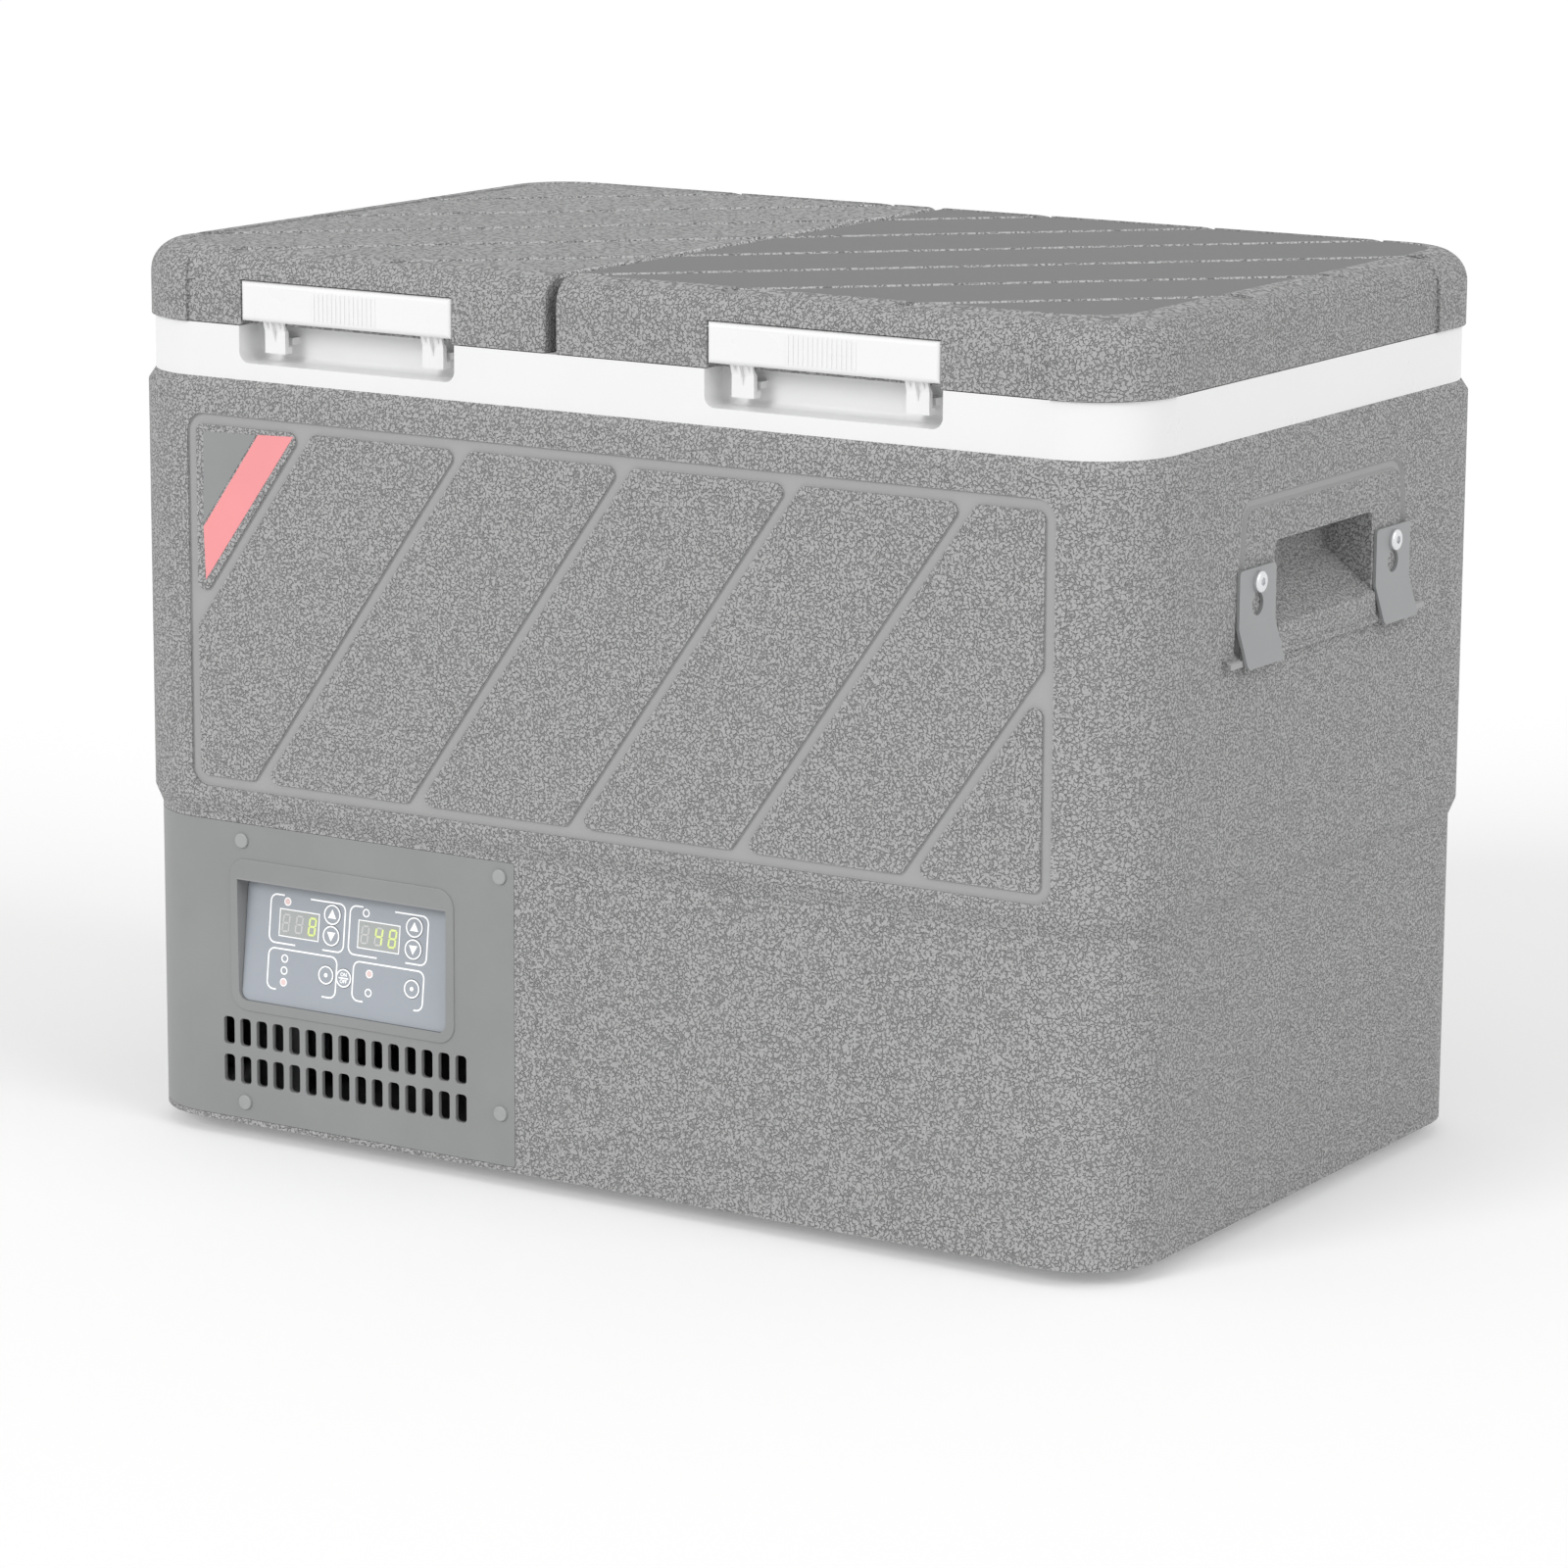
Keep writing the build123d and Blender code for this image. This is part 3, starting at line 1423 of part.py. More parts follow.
os.makedirs("parts", exist_ok=True)
for name, shape in nodes.items():
    export_step(shape, f"parts/{name}.step")
    print(name, round(shape.volume), len(shape.solids()))
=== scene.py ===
# %% [markdown]
# This lesson dresses a twin-bin compressor cooler fridge: a moulded case with a stone-like grain, two
# hinged lids with white latches, a white collar, a smooth control cover and all that sits inside.
# The shapes come from the fixed frame, which is a CAD model with one named node for each real piece.
# Blender adds what a CAD solid lacks: finishes, printed marks, wires of round section, light and a camera.

# %% Load the fixed frame
import math

import bpy
from mathutils import Matrix, Vector
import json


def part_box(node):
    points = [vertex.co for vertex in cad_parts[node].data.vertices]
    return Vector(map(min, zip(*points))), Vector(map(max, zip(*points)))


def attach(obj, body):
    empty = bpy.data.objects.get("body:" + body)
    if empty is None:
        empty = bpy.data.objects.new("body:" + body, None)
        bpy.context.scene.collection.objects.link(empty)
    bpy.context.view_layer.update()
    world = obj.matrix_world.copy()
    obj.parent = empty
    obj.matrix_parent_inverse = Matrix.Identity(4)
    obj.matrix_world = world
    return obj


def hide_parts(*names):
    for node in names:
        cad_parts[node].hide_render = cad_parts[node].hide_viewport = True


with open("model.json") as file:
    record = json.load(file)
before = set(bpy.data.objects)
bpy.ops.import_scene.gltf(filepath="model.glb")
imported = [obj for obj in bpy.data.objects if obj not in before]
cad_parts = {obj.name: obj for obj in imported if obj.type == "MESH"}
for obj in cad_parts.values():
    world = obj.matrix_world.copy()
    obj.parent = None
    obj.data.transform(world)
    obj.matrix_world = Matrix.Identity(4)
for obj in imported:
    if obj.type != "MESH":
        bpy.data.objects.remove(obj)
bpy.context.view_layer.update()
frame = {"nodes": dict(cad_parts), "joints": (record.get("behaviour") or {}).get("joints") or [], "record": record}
scene = bpy.context.scene
MM = 0.001

# %% [markdown]
# Colours are easier to judge as screen levels from 0 to 255, but a shader works in linear light.
# So one small helper turns levels into linear values, and every finish is written with it.


# %% Colour from screen levels
def levels(red, green, blue):
    """Linear RGBA from 0-255 screen levels."""

    def linear(level):
        share = level / 255
        if share <= 0.04045:
            return share / 12.92
        return ((share + 0.055) / 1.055) ** 2.4

    return (linear(red), linear(green), linear(blue), 1.0)


print("mid grey in linear light:", round(levels(157, 157, 157)[0], 3))

# %% [markdown]
# A shader effect that several finishes share is built once, as a node group with named inputs and outputs.
# These helpers start such a group and join its nodes, so each effect below reads as a short recipe.


# %% Helpers for node groups
def start_group(name, inputs, outputs):
    """A new shader group with float inputs {name: default} and float outputs."""
    tree = bpy.data.node_groups.new(name, "ShaderNodeTree")
    for label, value in inputs.items():
        socket = tree.interface.new_socket(label, in_out="INPUT", socket_type="NodeSocketFloat")
        socket.default_value = value
    for label in outputs:
        tree.interface.new_socket(label, in_out="OUTPUT", socket_type="NodeSocketFloat")
    source = tree.nodes.new("NodeGroupInput")
    target = tree.nodes.new("NodeGroupOutput")
    return tree, source, target


def add(tree, kind, settings=None, values=None):
    """Add a node; settings are its properties, values its unlinked inputs."""
    node = tree.nodes.new(kind)
    for label, value in (settings or {}).items():
        setattr(node, label, value)
    for label, value in (values or {}).items():
        node.inputs[label].default_value = value
    return node


def maths(tree, operation, first, second):
    """A Math node on two sockets or numbers; returns its output."""
    node = tree.nodes.new("ShaderNodeMath")
    node.operation = operation
    for place, item in enumerate((first, second)):
        if isinstance(item, (int, float)):
            node.inputs[place].default_value = item
        else:
            tree.links.new(item, node.inputs[place])
    return node.outputs[0]


def ramp(tree, value, low, high):
    """Map low..high to 0..1 with soft ends; returns the output."""
    node = add(tree, "ShaderNodeMapRange", {"interpolation_type": "SMOOTHSTEP"})
    node.inputs["From Min"].default_value = low
    node.inputs["From Max"].default_value = high
    tree.links.new(value, node.inputs["Value"])
    return node.outputs["Result"]


def noise(tree, vector, scale, detail=1.0, rough=0.5):
    """A noise at a scale given by a socket; returns its node."""
    node = add(tree, "ShaderNodeTexNoise", values={"Detail": detail, "Roughness": rough})
    tree.links.new(vector, node.inputs["Vector"])
    tree.links.new(scale, node.inputs["Scale"])
    return node


# %% [markdown]
# The case and lids carry a leathery stone grain: low tops about two and a half millimetres wide, parted
# by thin winding cracks. Displaced geometry would need millions of faces, so the grain is a height pattern
# for a Bump node. The edges of Voronoi cells give the cracks, a noise that shifts the lookup makes them
# wander, and a finer noise breaks them into short worms.


# %% Stone grain
GRAIN_CELLS = 400.0
CRACK_DARKNESS = 0.8


def stone_grain_group():
    """Low tops and broken, winding cracks in metres of object space."""
    names = {"Cells per metre": GRAIN_CELLS, "Crack width": 0.16, "Wander": 1.2, "Unevenness": 0.7}
    tree, source, target = start_group("stone grain", names, ("Height", "Tone"))
    density = source.outputs["Cells per metre"]
    place = add(tree, "ShaderNodeTexCoord").outputs["Object"]
    centred = add(tree, "ShaderNodeVectorMath", {"operation": "SUBTRACT"})
    centred.inputs[1].default_value = (0.5, 0.5, 0.5)
    tree.links.new(noise(tree, place, density).outputs["Color"], centred.inputs[0])
    shift = add(tree, "ShaderNodeVectorMath", {"operation": "SCALE"})
    tree.links.new(centred.outputs[0], shift.inputs[0])
    tree.links.new(maths(tree, "DIVIDE", source.outputs["Wander"], density), shift.inputs["Scale"])
    moved = add(tree, "ShaderNodeVectorMath", {"operation": "ADD"})
    tree.links.new(place, moved.inputs[0])
    tree.links.new(shift.outputs[0], moved.inputs[1])
    cells = add(tree, "ShaderNodeTexVoronoi", {"feature": "DISTANCE_TO_EDGE"})
    tree.links.new(moved.outputs[0], cells.inputs["Vector"])
    tree.links.new(density, cells.inputs["Scale"])
    narrow = maths(tree, "DIVIDE", cells.outputs["Distance"], source.outputs["Crack width"])
    crack = maths(tree, "SUBTRACT", 1.0, ramp(tree, narrow, 0.0, 1.0))
    parts = noise(tree, place, maths(tree, "MULTIPLY", density, 1.5)).outputs["Fac"]
    crack = maths(tree, "MULTIPLY", crack, ramp(tree, parts, 0.35, 0.55))
    finer = noise(tree, place, maths(tree, "MULTIPLY", density, 2.3), detail=2.0, rough=0.6).outputs["Fac"]
    tops = maths(tree, "MULTIPLY", maths(tree, "SUBTRACT", finer, 0.5), source.outputs["Unevenness"])
    tree.links.new(maths(tree, "SUBTRACT", tops, crack), target.inputs["Height"])
    paler = maths(tree, "ADD", maths(tree, "MULTIPLY", tops, 0.7), 0.8)
    darker = maths(tree, "MULTIPLY", crack, CRACK_DARKNESS)
    tree.links.new(maths(tree, "SUBTRACT", paler, darker), target.inputs["Tone"])
    return tree


STONE_GRAIN = stone_grain_group()
print("group:", STONE_GRAIN.name)

# %% [markdown]
# Smooth mouldings, paint and rubber are never perfectly even. A fine two-scale noise gives them a faint
# skin for the Bump node, and a slow cloud that varies their colour and gloss a little.


# %% Fine skin
def fine_skin_group():
    """A fine skin and a slow cloud."""
    names = {"Skin scale": 900.0, "Cloud scale": 14.0}
    tree, source, target = start_group("fine skin", names, ("Height", "Cloud"))
    place = add(tree, "ShaderNodeTexCoord").outputs["Object"]
    skin = noise(tree, place, source.outputs["Skin scale"], detail=3.0)
    cloud = noise(tree, place, source.outputs["Cloud scale"], detail=4.0, rough=0.6)
    tree.links.new(skin.outputs["Fac"], target.inputs["Height"])
    tree.links.new(ramp(tree, cloud.outputs["Fac"], 0.3, 0.7), target.inputs["Cloud"])
    return tree


FINE_SKIN = fine_skin_group()
print("group:", FINE_SKIN.name)

# %% [markdown]
# Sheet and wire are drawn through rollers and dies, which leave fine lines along one way.
# The lines are a noise stretched along X, so the group asks how much it is stretched.


# %% Drawn lines
def drawn_lines_group():
    """Fine lines along X for rolled sheet and drawn wire."""
    names = {"Lines per metre": 1800.0, "Stretch": 0.03}
    tree, source, target = start_group("drawn lines", names, ("Height",))
    place = add(tree, "ShaderNodeTexCoord")
    squeeze = add(tree, "ShaderNodeCombineXYZ", values={"Y": 1.0, "Z": 1.0})
    tree.links.new(source.outputs["Stretch"], squeeze.inputs["X"])
    stretched = add(tree, "ShaderNodeVectorMath", {"operation": "MULTIPLY"})
    tree.links.new(place.outputs["Object"], stretched.inputs[0])
    tree.links.new(squeeze.outputs[0], stretched.inputs[1])
    lines = noise(tree, stretched.outputs[0], source.outputs["Lines per metre"], detail=2.0)
    tree.links.new(lines.outputs["Fac"], target.inputs["Height"])
    return tree


DRAWN_LINES = drawn_lines_group()
print("group:", DRAWN_LINES.name)

# %% [markdown]
# Outer edges are painted paler than the faces: partly polish from handling, partly a painted highlight where an
# edge catches light. A Bevel node gives a normal that is rounded near edges. Where it leaves the true normal,
# an edge is near, and that difference is the mask of worn and highlighted edges.


# %% Worn and highlighted edges
def edge_wear_and_highlight_group():
    """One close to an edge, zero on open faces."""
    tree, source, target = start_group("edge wear", {"Width": 0.0015, "Gain": 3.0}, ("Wear and highlight",))
    rounded = add(tree, "ShaderNodeBevel", {"samples": 4})
    tree.links.new(source.outputs["Width"], rounded.inputs["Radius"])
    true = add(tree, "ShaderNodeNewGeometry")
    dot = add(tree, "ShaderNodeVectorMath", {"operation": "DOT_PRODUCT"})
    tree.links.new(rounded.outputs["Normal"], dot.inputs[0])
    tree.links.new(true.outputs["Normal"], dot.inputs[1])
    # This mask pales edges: partly worn polish, partly a painted highlight where edges catch light.
    away = maths(tree, "SUBTRACT", 1.0, dot.outputs["Value"])
    wear_and_highlight = maths(tree, "MULTIPLY", away, source.outputs["Gain"])
    tree.links.new(ramp(tree, wear_and_highlight, 0.0, 1.0), target.inputs["Wear and highlight"])
    return tree


EDGE_WEAR_AND_HIGHLIGHT = edge_wear_and_highlight_group()
print("group:", EDGE_WEAR_AND_HIGHLIGHT.name)

# %% [markdown]
# On the real case the grain stops at the grooves, whose floors are left smooth. The groove floors lie a
# set depth below the faces, so the grain can be kept off them by position. This group answers one inside
# a box and zero outside it. The case finish uses it for the front panel and both handle frames, and the
# lid finish for the lids' dished tops.


# %% Smooth box mask
def smooth_box_group():
    """One where the object's own place is inside a box given by its middle and half sizes."""
    names = {}
    for axis in "XYZ":
        names[f"Middle {axis}"] = 0.0
        names[f"Half {axis}"] = 1.0
    tree, source, target = start_group("smooth box", names, ("Inside",))
    place = add(tree, "ShaderNodeTexCoord")
    parts = add(tree, "ShaderNodeSeparateXYZ")
    tree.links.new(place.outputs["Object"], parts.inputs[0])
    inside = None
    for axis in "XYZ":
        away = maths(tree, "SUBTRACT", parts.outputs[axis], source.outputs[f"Middle {axis}"])
        away = maths(tree, "ABSOLUTE", away, 0.0)
        near = maths(tree, "LESS_THAN", away, source.outputs[f"Half {axis}"])
        inside = near if inside is None else maths(tree, "MULTIPLY", inside, near)
    tree.links.new(inside, target.inputs["Inside"])
    return tree


SMOOTH_BOX = smooth_box_group()
print("group:", SMOOTH_BOX.name)

# %% [markdown]
# A material holds the Principled shader itself, and the groups feed its sockets. Numbers that are the same
# all over, such as the specular level, are set on the shader's own socket.


# %% Helpers for materials
def group_node(tree, group, values):
    """Place a shared effect in a material with its own values."""
    node = tree.nodes.new("ShaderNodeGroup")
    node.node_tree = group
    for label, value in values.items():
        node.inputs[label].default_value = value
    return node


def blend_colours(tree, share, first, second):
    """Mix two colours, either of which may be a socket; returns the output."""
    node = add(tree, "ShaderNodeMix", {"data_type": "RGBA"})
    tree.links.new(share, node.inputs["Factor"])
    for place, item in ((6, first), (7, second)):
        if isinstance(item, tuple):
            node.inputs[place].default_value = item
        else:
            tree.links.new(item, node.inputs[place])
    return node.outputs[2]


def principled(tree):
    """The Principled shader of a material's tree."""
    return next(node for node in tree.nodes if node.type == "BSDF_PRINCIPLED")


def start_material(name, metallic=0.0, specular=0.5):
    """A material with only its Principled shader; returns it with its tree and shader."""
    material = bpy.data.materials.new(name)
    material.use_nodes = True
    tree = material.node_tree
    shader = principled(tree)
    shader.inputs["Metallic"].default_value = metallic
    shader.inputs["Specular IOR Level"].default_value = specular
    return material, tree, shader


def set_bump(tree, shader, height, distance):
    """Feed a height into the shader's normal."""
    bump = add(tree, "ShaderNodeBump", values={"Distance": distance, "Strength": 1.0})
    tree.links.new(height, bump.inputs["Height"])
    tree.links.new(bump.outputs["Normal"], shader.inputs["Normal"])


def shade(colour, factor):
    """The same colour, darker or lighter in linear light."""
    return tuple(min(1.0, part * factor) for part in colour[:3]) + (1.0,)


def set_roughness(tree, shader, share, low, high):
    """Vary roughness between two values."""
    node = add(tree, "ShaderNodeMapRange", values={"To Min": low, "To Max": high})
    tree.links.new(share, node.inputs["Value"])
    tree.links.new(node.outputs["Result"], shader.inputs["Roughness"])


# %% [markdown]
# First the grained mouldings. The grain's tops are paler and glossier than its cracks, and edges are paler
# still, partly from worn polish and partly as a painted highlight. Smooth boxes keep the grain off the groove
# floors, which are matt, and a grained box inside one of them gives it back, as in the finger scoop that lies
# within the handle frame. On a lid's level top the grain is broader and stronger, and the walls of the grooves
# there are painted pale in broken dashes as a highlight.


# %% Grained mouldings
def inside_box(tree, box):
    """The mask of one box given by its middle and half sizes."""
    values = {}
    for axis, centre, reach in zip("XYZ", *box):
        values[f"Middle {axis}"] = centre
        values[f"Half {axis}"] = reach
    return group_node(tree, SMOOTH_BOX, values).outputs["Inside"]


def smooth_share(tree, smooth_boxes, grained_boxes):
    """One where a smooth box holds and no grained box does."""
    smooth = 0.0
    for box in smooth_boxes:
        smooth = maths(tree, "MAXIMUM", inside_box(tree, box), smooth)
    for box in grained_boxes:
        outside = maths(tree, "SUBTRACT", 1.0, inside_box(tree, box))
        smooth = maths(tree, "MULTIPLY", smooth, outside)
    return smooth


def blend_values(tree, share, first, second):
    """Mix two values by a share; returns the output."""
    rest = maths(tree, "SUBTRACT", 1.0, share)
    return maths(tree, "ADD", maths(tree, "MULTIPLY", first, rest), maths(tree, "MULTIPLY", second, share))


def facing_up(tree):
    """One on level tops and zero on walls, from the piece's own normals."""
    normal = add(tree, "ShaderNodeTexCoord").outputs["Normal"]
    parts = add(tree, "ShaderNodeSeparateXYZ")
    tree.links.new(normal, parts.inputs[0])
    return ramp(tree, parts.outputs["Z"], 0.8, 0.95)


GRAIN_DEPTH = 0.0009
# The third factor pales the edges: partly worn polish, partly a painted highlight.
CRACK_SHADE, TOP_SHADE, WORN_AND_HIGHLIGHT_SHADE = 0.71, 1.15, 1.5
CRACK_ROUGHNESS, TOP_ROUGHNESS = 0.85, 0.55


def grained(name, colour, smooth_boxes, grained_boxes=(), lid_top=None):
    """A moulding with stone grain, left smooth in some boxes.

    lid_top gives the level tops' own cells per metre, smooth colour, the painted highlight colour of the groove
    walls, and box.
    """
    material, tree, shader = start_material(name, specular=0.35)
    grain = group_node(tree, STONE_GRAIN, {})
    smooth = smooth_share(tree, smooth_boxes, grained_boxes)
    relief, tone = grain.outputs["Height"], grain.outputs["Tone"]
    smooth_colour = colour
    if lid_top:
        top_cells, smooth_colour, wall_highlight_colour, top_box = lid_top
        up = facing_up(tree)
        broad = group_node(tree, STONE_GRAIN, {"Cells per metre": top_cells})
        relief = blend_values(tree, up, relief, broad.outputs["Height"])
        stronger = maths(tree, "MULTIPLY", maths(tree, "SUBTRACT", broad.outputs["Tone"], 0.7), 2.0)
        tone = blend_values(tree, up, tone, maths(tree, "ADD", stronger, 0.5))
    height = maths(tree, "MULTIPLY", relief, maths(tree, "SUBTRACT", 1.0, smooth))
    body = blend_colours(tree, tone, shade(colour, CRACK_SHADE), shade(colour, TOP_SHADE))
    body = blend_colours(tree, smooth, body, smooth_colour)
    if lid_top:
        # Painted highlight: groove walls inside the lid tops' box that do not face up are painted paler in broken
        # dashes.
        painted_wall_highlight = maths(tree, "MULTIPLY", inside_box(tree, top_box), maths(tree, "SUBTRACT", 1.0, up))
        painted_wall_highlight = maths(tree, "MULTIPLY", painted_wall_highlight, ramp(tree, tone, 0.45, 0.85))
        body = blend_colours(tree, painted_wall_highlight, body, wall_highlight_colour)
    # Edges painted paler: partly worn polish, partly a painted highlight.
    wear_and_highlight = group_node(tree, EDGE_WEAR_AND_HIGHLIGHT, {"Width": 0.0016, "Gain": 2.5}).outputs["Wear and highlight"]
    share = maths(tree, "MULTIPLY", wear_and_highlight, 0.3)
    body = blend_colours(tree, share, body, shade(colour, WORN_AND_HIGHLIGHT_SHADE))
    tree.links.new(body, shader.inputs["Base Color"])
    gloss = maths(tree, "MULTIPLY", tone, maths(tree, "SUBTRACT", 1.0, smooth))
    set_roughness(tree, shader, gloss, CRACK_ROUGHNESS, TOP_ROUGHNESS)
    set_bump(tree, shader, height, GRAIN_DEPTH)
    return material


# %% [markdown]
# Smooth mouldings, rubber and paint share one recipe too: a slow cloud in colour and gloss, a fine skin in
# the normal and paler edges. Metals take drawn lines in place of the skin.


# %% Smooth plastics and metals
def plain_skin(name, colour, rough=0.45, skin=900.0, depth=0.00006, edge=0.25, uneven=0.035):
    """Smooth plastic, rubber or paint."""
    material, tree, shader = start_material(name, specular=0.4)
    surface = group_node(tree, FINE_SKIN, {"Skin scale": skin})
    cloud = surface.outputs["Cloud"]
    body = blend_colours(tree, cloud, shade(colour, 1 - uneven), shade(colour, 1 + uneven))
    # Edges painted paler: partly worn polish, partly a painted highlight.
    wear_and_highlight = group_node(tree, EDGE_WEAR_AND_HIGHLIGHT, {"Width": 0.0008, "Gain": 2.5}).outputs["Wear and highlight"]
    share = maths(tree, "MULTIPLY", wear_and_highlight, edge)
    body = blend_colours(tree, share, body, shade(colour, 1.35))
    tree.links.new(body, shader.inputs["Base Color"])
    set_roughness(tree, shader, cloud, rough - 0.05, rough + 0.05)
    set_bump(tree, shader, surface.outputs["Height"], depth)
    return material


def drawn_metal(name, colour, rough=0.35):
    """Rolled sheet, plated or drawn metal."""
    material, tree, shader = start_material(name, metallic=1.0)
    cloud = group_node(tree, FINE_SKIN, {"Cloud scale": 20.0}).outputs["Cloud"]
    marks = group_node(tree, DRAWN_LINES, {})
    body = blend_colours(tree, cloud, shade(colour, 0.9), shade(colour, 1.06))
    # Edges painted paler: partly worn polish, partly a painted highlight.
    wear_and_highlight = group_node(tree, EDGE_WEAR_AND_HIGHLIGHT, {"Width": 0.0004, "Gain": 2.5}).outputs["Wear and highlight"]
    body = blend_colours(tree, maths(tree, "MULTIPLY", wear_and_highlight, 0.4), body, shade(colour, 1.25))
    tree.links.new(body, shader.inputs["Base Color"])
    set_roughness(tree, shader, cloud, rough - 0.06, rough + 0.08)
    set_bump(tree, shader, marks.outputs["Height"], 0.00004)
    return material


# %% [markdown]
# Now the palette. Each name is a slot of the record, and each CAD node carries the slot of its real
# material, so one loop can dress every node. The case, lids and cover are mid grey, the collar and latches
# near white, and the machine parts have the finishes that such parts are bought in.


# %% Palette of finishes
def both_ends(middle, half):
    """A box on the right end and its mirror on the left, left one first."""
    x, y, z = middle
    return (((-x, y, z), half), ((x, y, z), half))


# Boxes in metres, each given by its middle and its half sizes.
GROOVES = ((0.0045, -0.2265, 0.337), (0.3045, 0.0043, 0.118))
HANDLE_FRAMES = both_ends((0.3533, 0.0, 0.3925), (0.0013, 0.1125, 0.048))
LIPS = both_ends((0.3598, 0.0, 0.347), (0.0014, 0.126, 0.004))
SCOOPS = both_ends((0.345, 0.0, 0.378), (0.04, 0.0625, 0.0335))
RIGHT_LID_TOP = ((0.1467, 0.0, 0.5501), (0.1813, 0.2102, 0.0013))
BOTH_LID_TOPS = ((0.0, 0.0, 0.5501), (0.328, 0.2102, 0.0018))
LID_TOP_CELLS = 190.0
LID_TOP_GREY = levels(132, 132, 132)
# A painted highlight colour for the groove walls on the lid tops.
LID_WALL_HIGHLIGHT_GREY = levels(225, 225, 225)
# The cracks darken a grained face by 15 to 18 levels, so case and lids are written paler than they look.
CASE = levels(173, 173, 173)
LID = levels(172, 172, 172)
finishes = {
    "case_grey": grained("case_grey", CASE, (GROOVES, *HANDLE_FRAMES, *LIPS), SCOOPS),
    "lid_grey": grained(
        "lid_grey",
        LID,
        (RIGHT_LID_TOP,),
        lid_top=(LID_TOP_CELLS, LID_TOP_GREY, LID_WALL_HIGHLIGHT_GREY, BOTH_LID_TOPS),
    ),
    "cover_grey": plain_skin("cover_grey", levels(148, 149, 149), rough=0.5, depth=0.00005),
    "collar_white": plain_skin("collar_white", levels(244, 244, 244), rough=0.32, edge=0.1, uneven=0.006),
    "latch_white": plain_skin("latch_white", levels(246, 246, 246), rough=0.3, edge=0.1, uneven=0.006),
    "liner_white": plain_skin("liner_white", levels(232, 234, 234), rough=0.35, edge=0.1),
    "lid_liner_white": plain_skin("lid_liner_white", levels(226, 228, 229), rough=0.4, edge=0.1),
    "gasket_grey": plain_skin("gasket_grey", levels(92, 93, 95), rough=0.75, depth=0.00015),
    "foam": plain_skin("foam", levels(226, 214, 172), rough=0.9, skin=500.0, depth=0.0005),
    "sheet_aluminium": drawn_metal("sheet_aluminium", levels(206, 208, 210)),
    "basket_wire": plain_skin("basket_wire", levels(238, 238, 238), rough=0.35, edge=0.1),
    "hinge_grey": plain_skin("hinge_grey", levels(142, 143, 145), rough=0.45),
    "pin_steel": drawn_metal("pin_steel", levels(200, 202, 204), rough=0.28),
    "screw_steel": drawn_metal("screw_steel", levels(226, 227, 229), rough=0.24),
    "plate_grey": plain_skin("plate_grey", levels(158, 159, 160), rough=0.42, skin=1300.0),
    "display": plain_skin("display", levels(169, 175, 182), rough=0.16, skin=200.0, depth=0.00001),
    "button": plain_skin("button", levels(169, 175, 182), rough=0.22, skin=300.0, depth=0.00001),
    "board": plain_skin("board", levels(34, 92, 58), rough=0.4),
    "base_steel": drawn_metal("base_steel", levels(176, 178, 180), rough=0.45),
    "partition_steel": drawn_metal("partition_steel", levels(184, 186, 188), rough=0.4),
    "compressor_black": plain_skin("compressor_black", levels(60, 60, 62), rough=0.35),
    "mount_rubber": plain_skin("mount_rubber", levels(44, 44, 45), rough=0.85, depth=0.0001),
    "fin_aluminium": drawn_metal("fin_aluminium", levels(196, 198, 200), rough=0.4),
    "fan_black": plain_skin("fan_black", levels(62, 63, 65), rough=0.5),
    "copper": drawn_metal("copper", levels(206, 134, 98), rough=0.3),
    "lamp_lens": plain_skin("lamp_lens", levels(246, 246, 240), rough=0.2, depth=0.00002),
    "inlet_black": plain_skin("inlet_black", levels(42, 42, 44), rough=0.5),
    "foot_rubber": plain_skin("foot_rubber", levels(60, 60, 62), rough=0.85, depth=0.0002),
}
slot_of = {part["node"]: part["material_slot"] for part in frame["record"]["subparts"]}
for name, piece in frame["nodes"].items():
    piece.data.materials.clear()
    piece.data.materials.append(finishes[slot_of[name]])
cover_screws = frame["nodes"]["cover_screws"]
cover_screws.data.materials[0] = plain_skin("screw_cap", levels(168, 169, 169), rough=0.3, edge=0.1)
print("finishes:", len(finishes), "dressed nodes:", len(slot_of))

# %% [markdown]
# The display is a glass panel that leans back, with its markings printed on the face. Its place comes
# from the CAD node: the middle of the node's box, moved out by half the glass. The buttons press along
# the panel's normal, so a button's joint axis gives the lean. Everything printed is first laid out flat,
# with X to the right and Y up the glass, and then moved on to the glass by one matrix.

# %% The plane of the glass
press = next(joint for joint in frame["joints"] if joint["name"] == "power_button_press")
inward = Vector(press["axis"]).normalized()
outward = -inward
up_glass = outward.cross(Vector((1, 0, 0)))
low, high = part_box("display_panel")
GLASS_THICKNESS = 2 * MM
glass_width = high.x - low.x
glass_height = (high.z - low.z - GLASS_THICKNESS * abs(inward.z)) / abs(up_glass.z)
glass_middle = (low + high) / 2 + outward * GLASS_THICKNESS / 2
ON_GLASS = Matrix(
    (
        (1, up_glass.x, outward.x, glass_middle.x),
        (0, up_glass.y, outward.y, glass_middle.y),
        (0, up_glass.z, outward.z, glass_middle.z),
        (0, 0, 0, 1),
    )
)
print("glass:", round(glass_width / MM, 1), "by", round(glass_height / MM, 1), "mm")


def spot(across, down):
    """A place on the glass from its shares across and down, in metres from the middle."""
    return ((across - 0.5) * glass_width, (0.5 - down) * glass_height)


def over_glass(height):
    """The move of a flat drawing on to the glass, at a height above its face."""
    return ON_GLASS @ Matrix.Translation((0, 0, height))


# %% [markdown]
# The markings are ink of hardly any thickness. Lines, rings and digit strokes all follow a path, so one
# Geometry Nodes tree makes them: it turns loose edges into curves and gives them a flat section of named
# width and height. Another tree sets a filled disc on each point. Both end in Set Material.


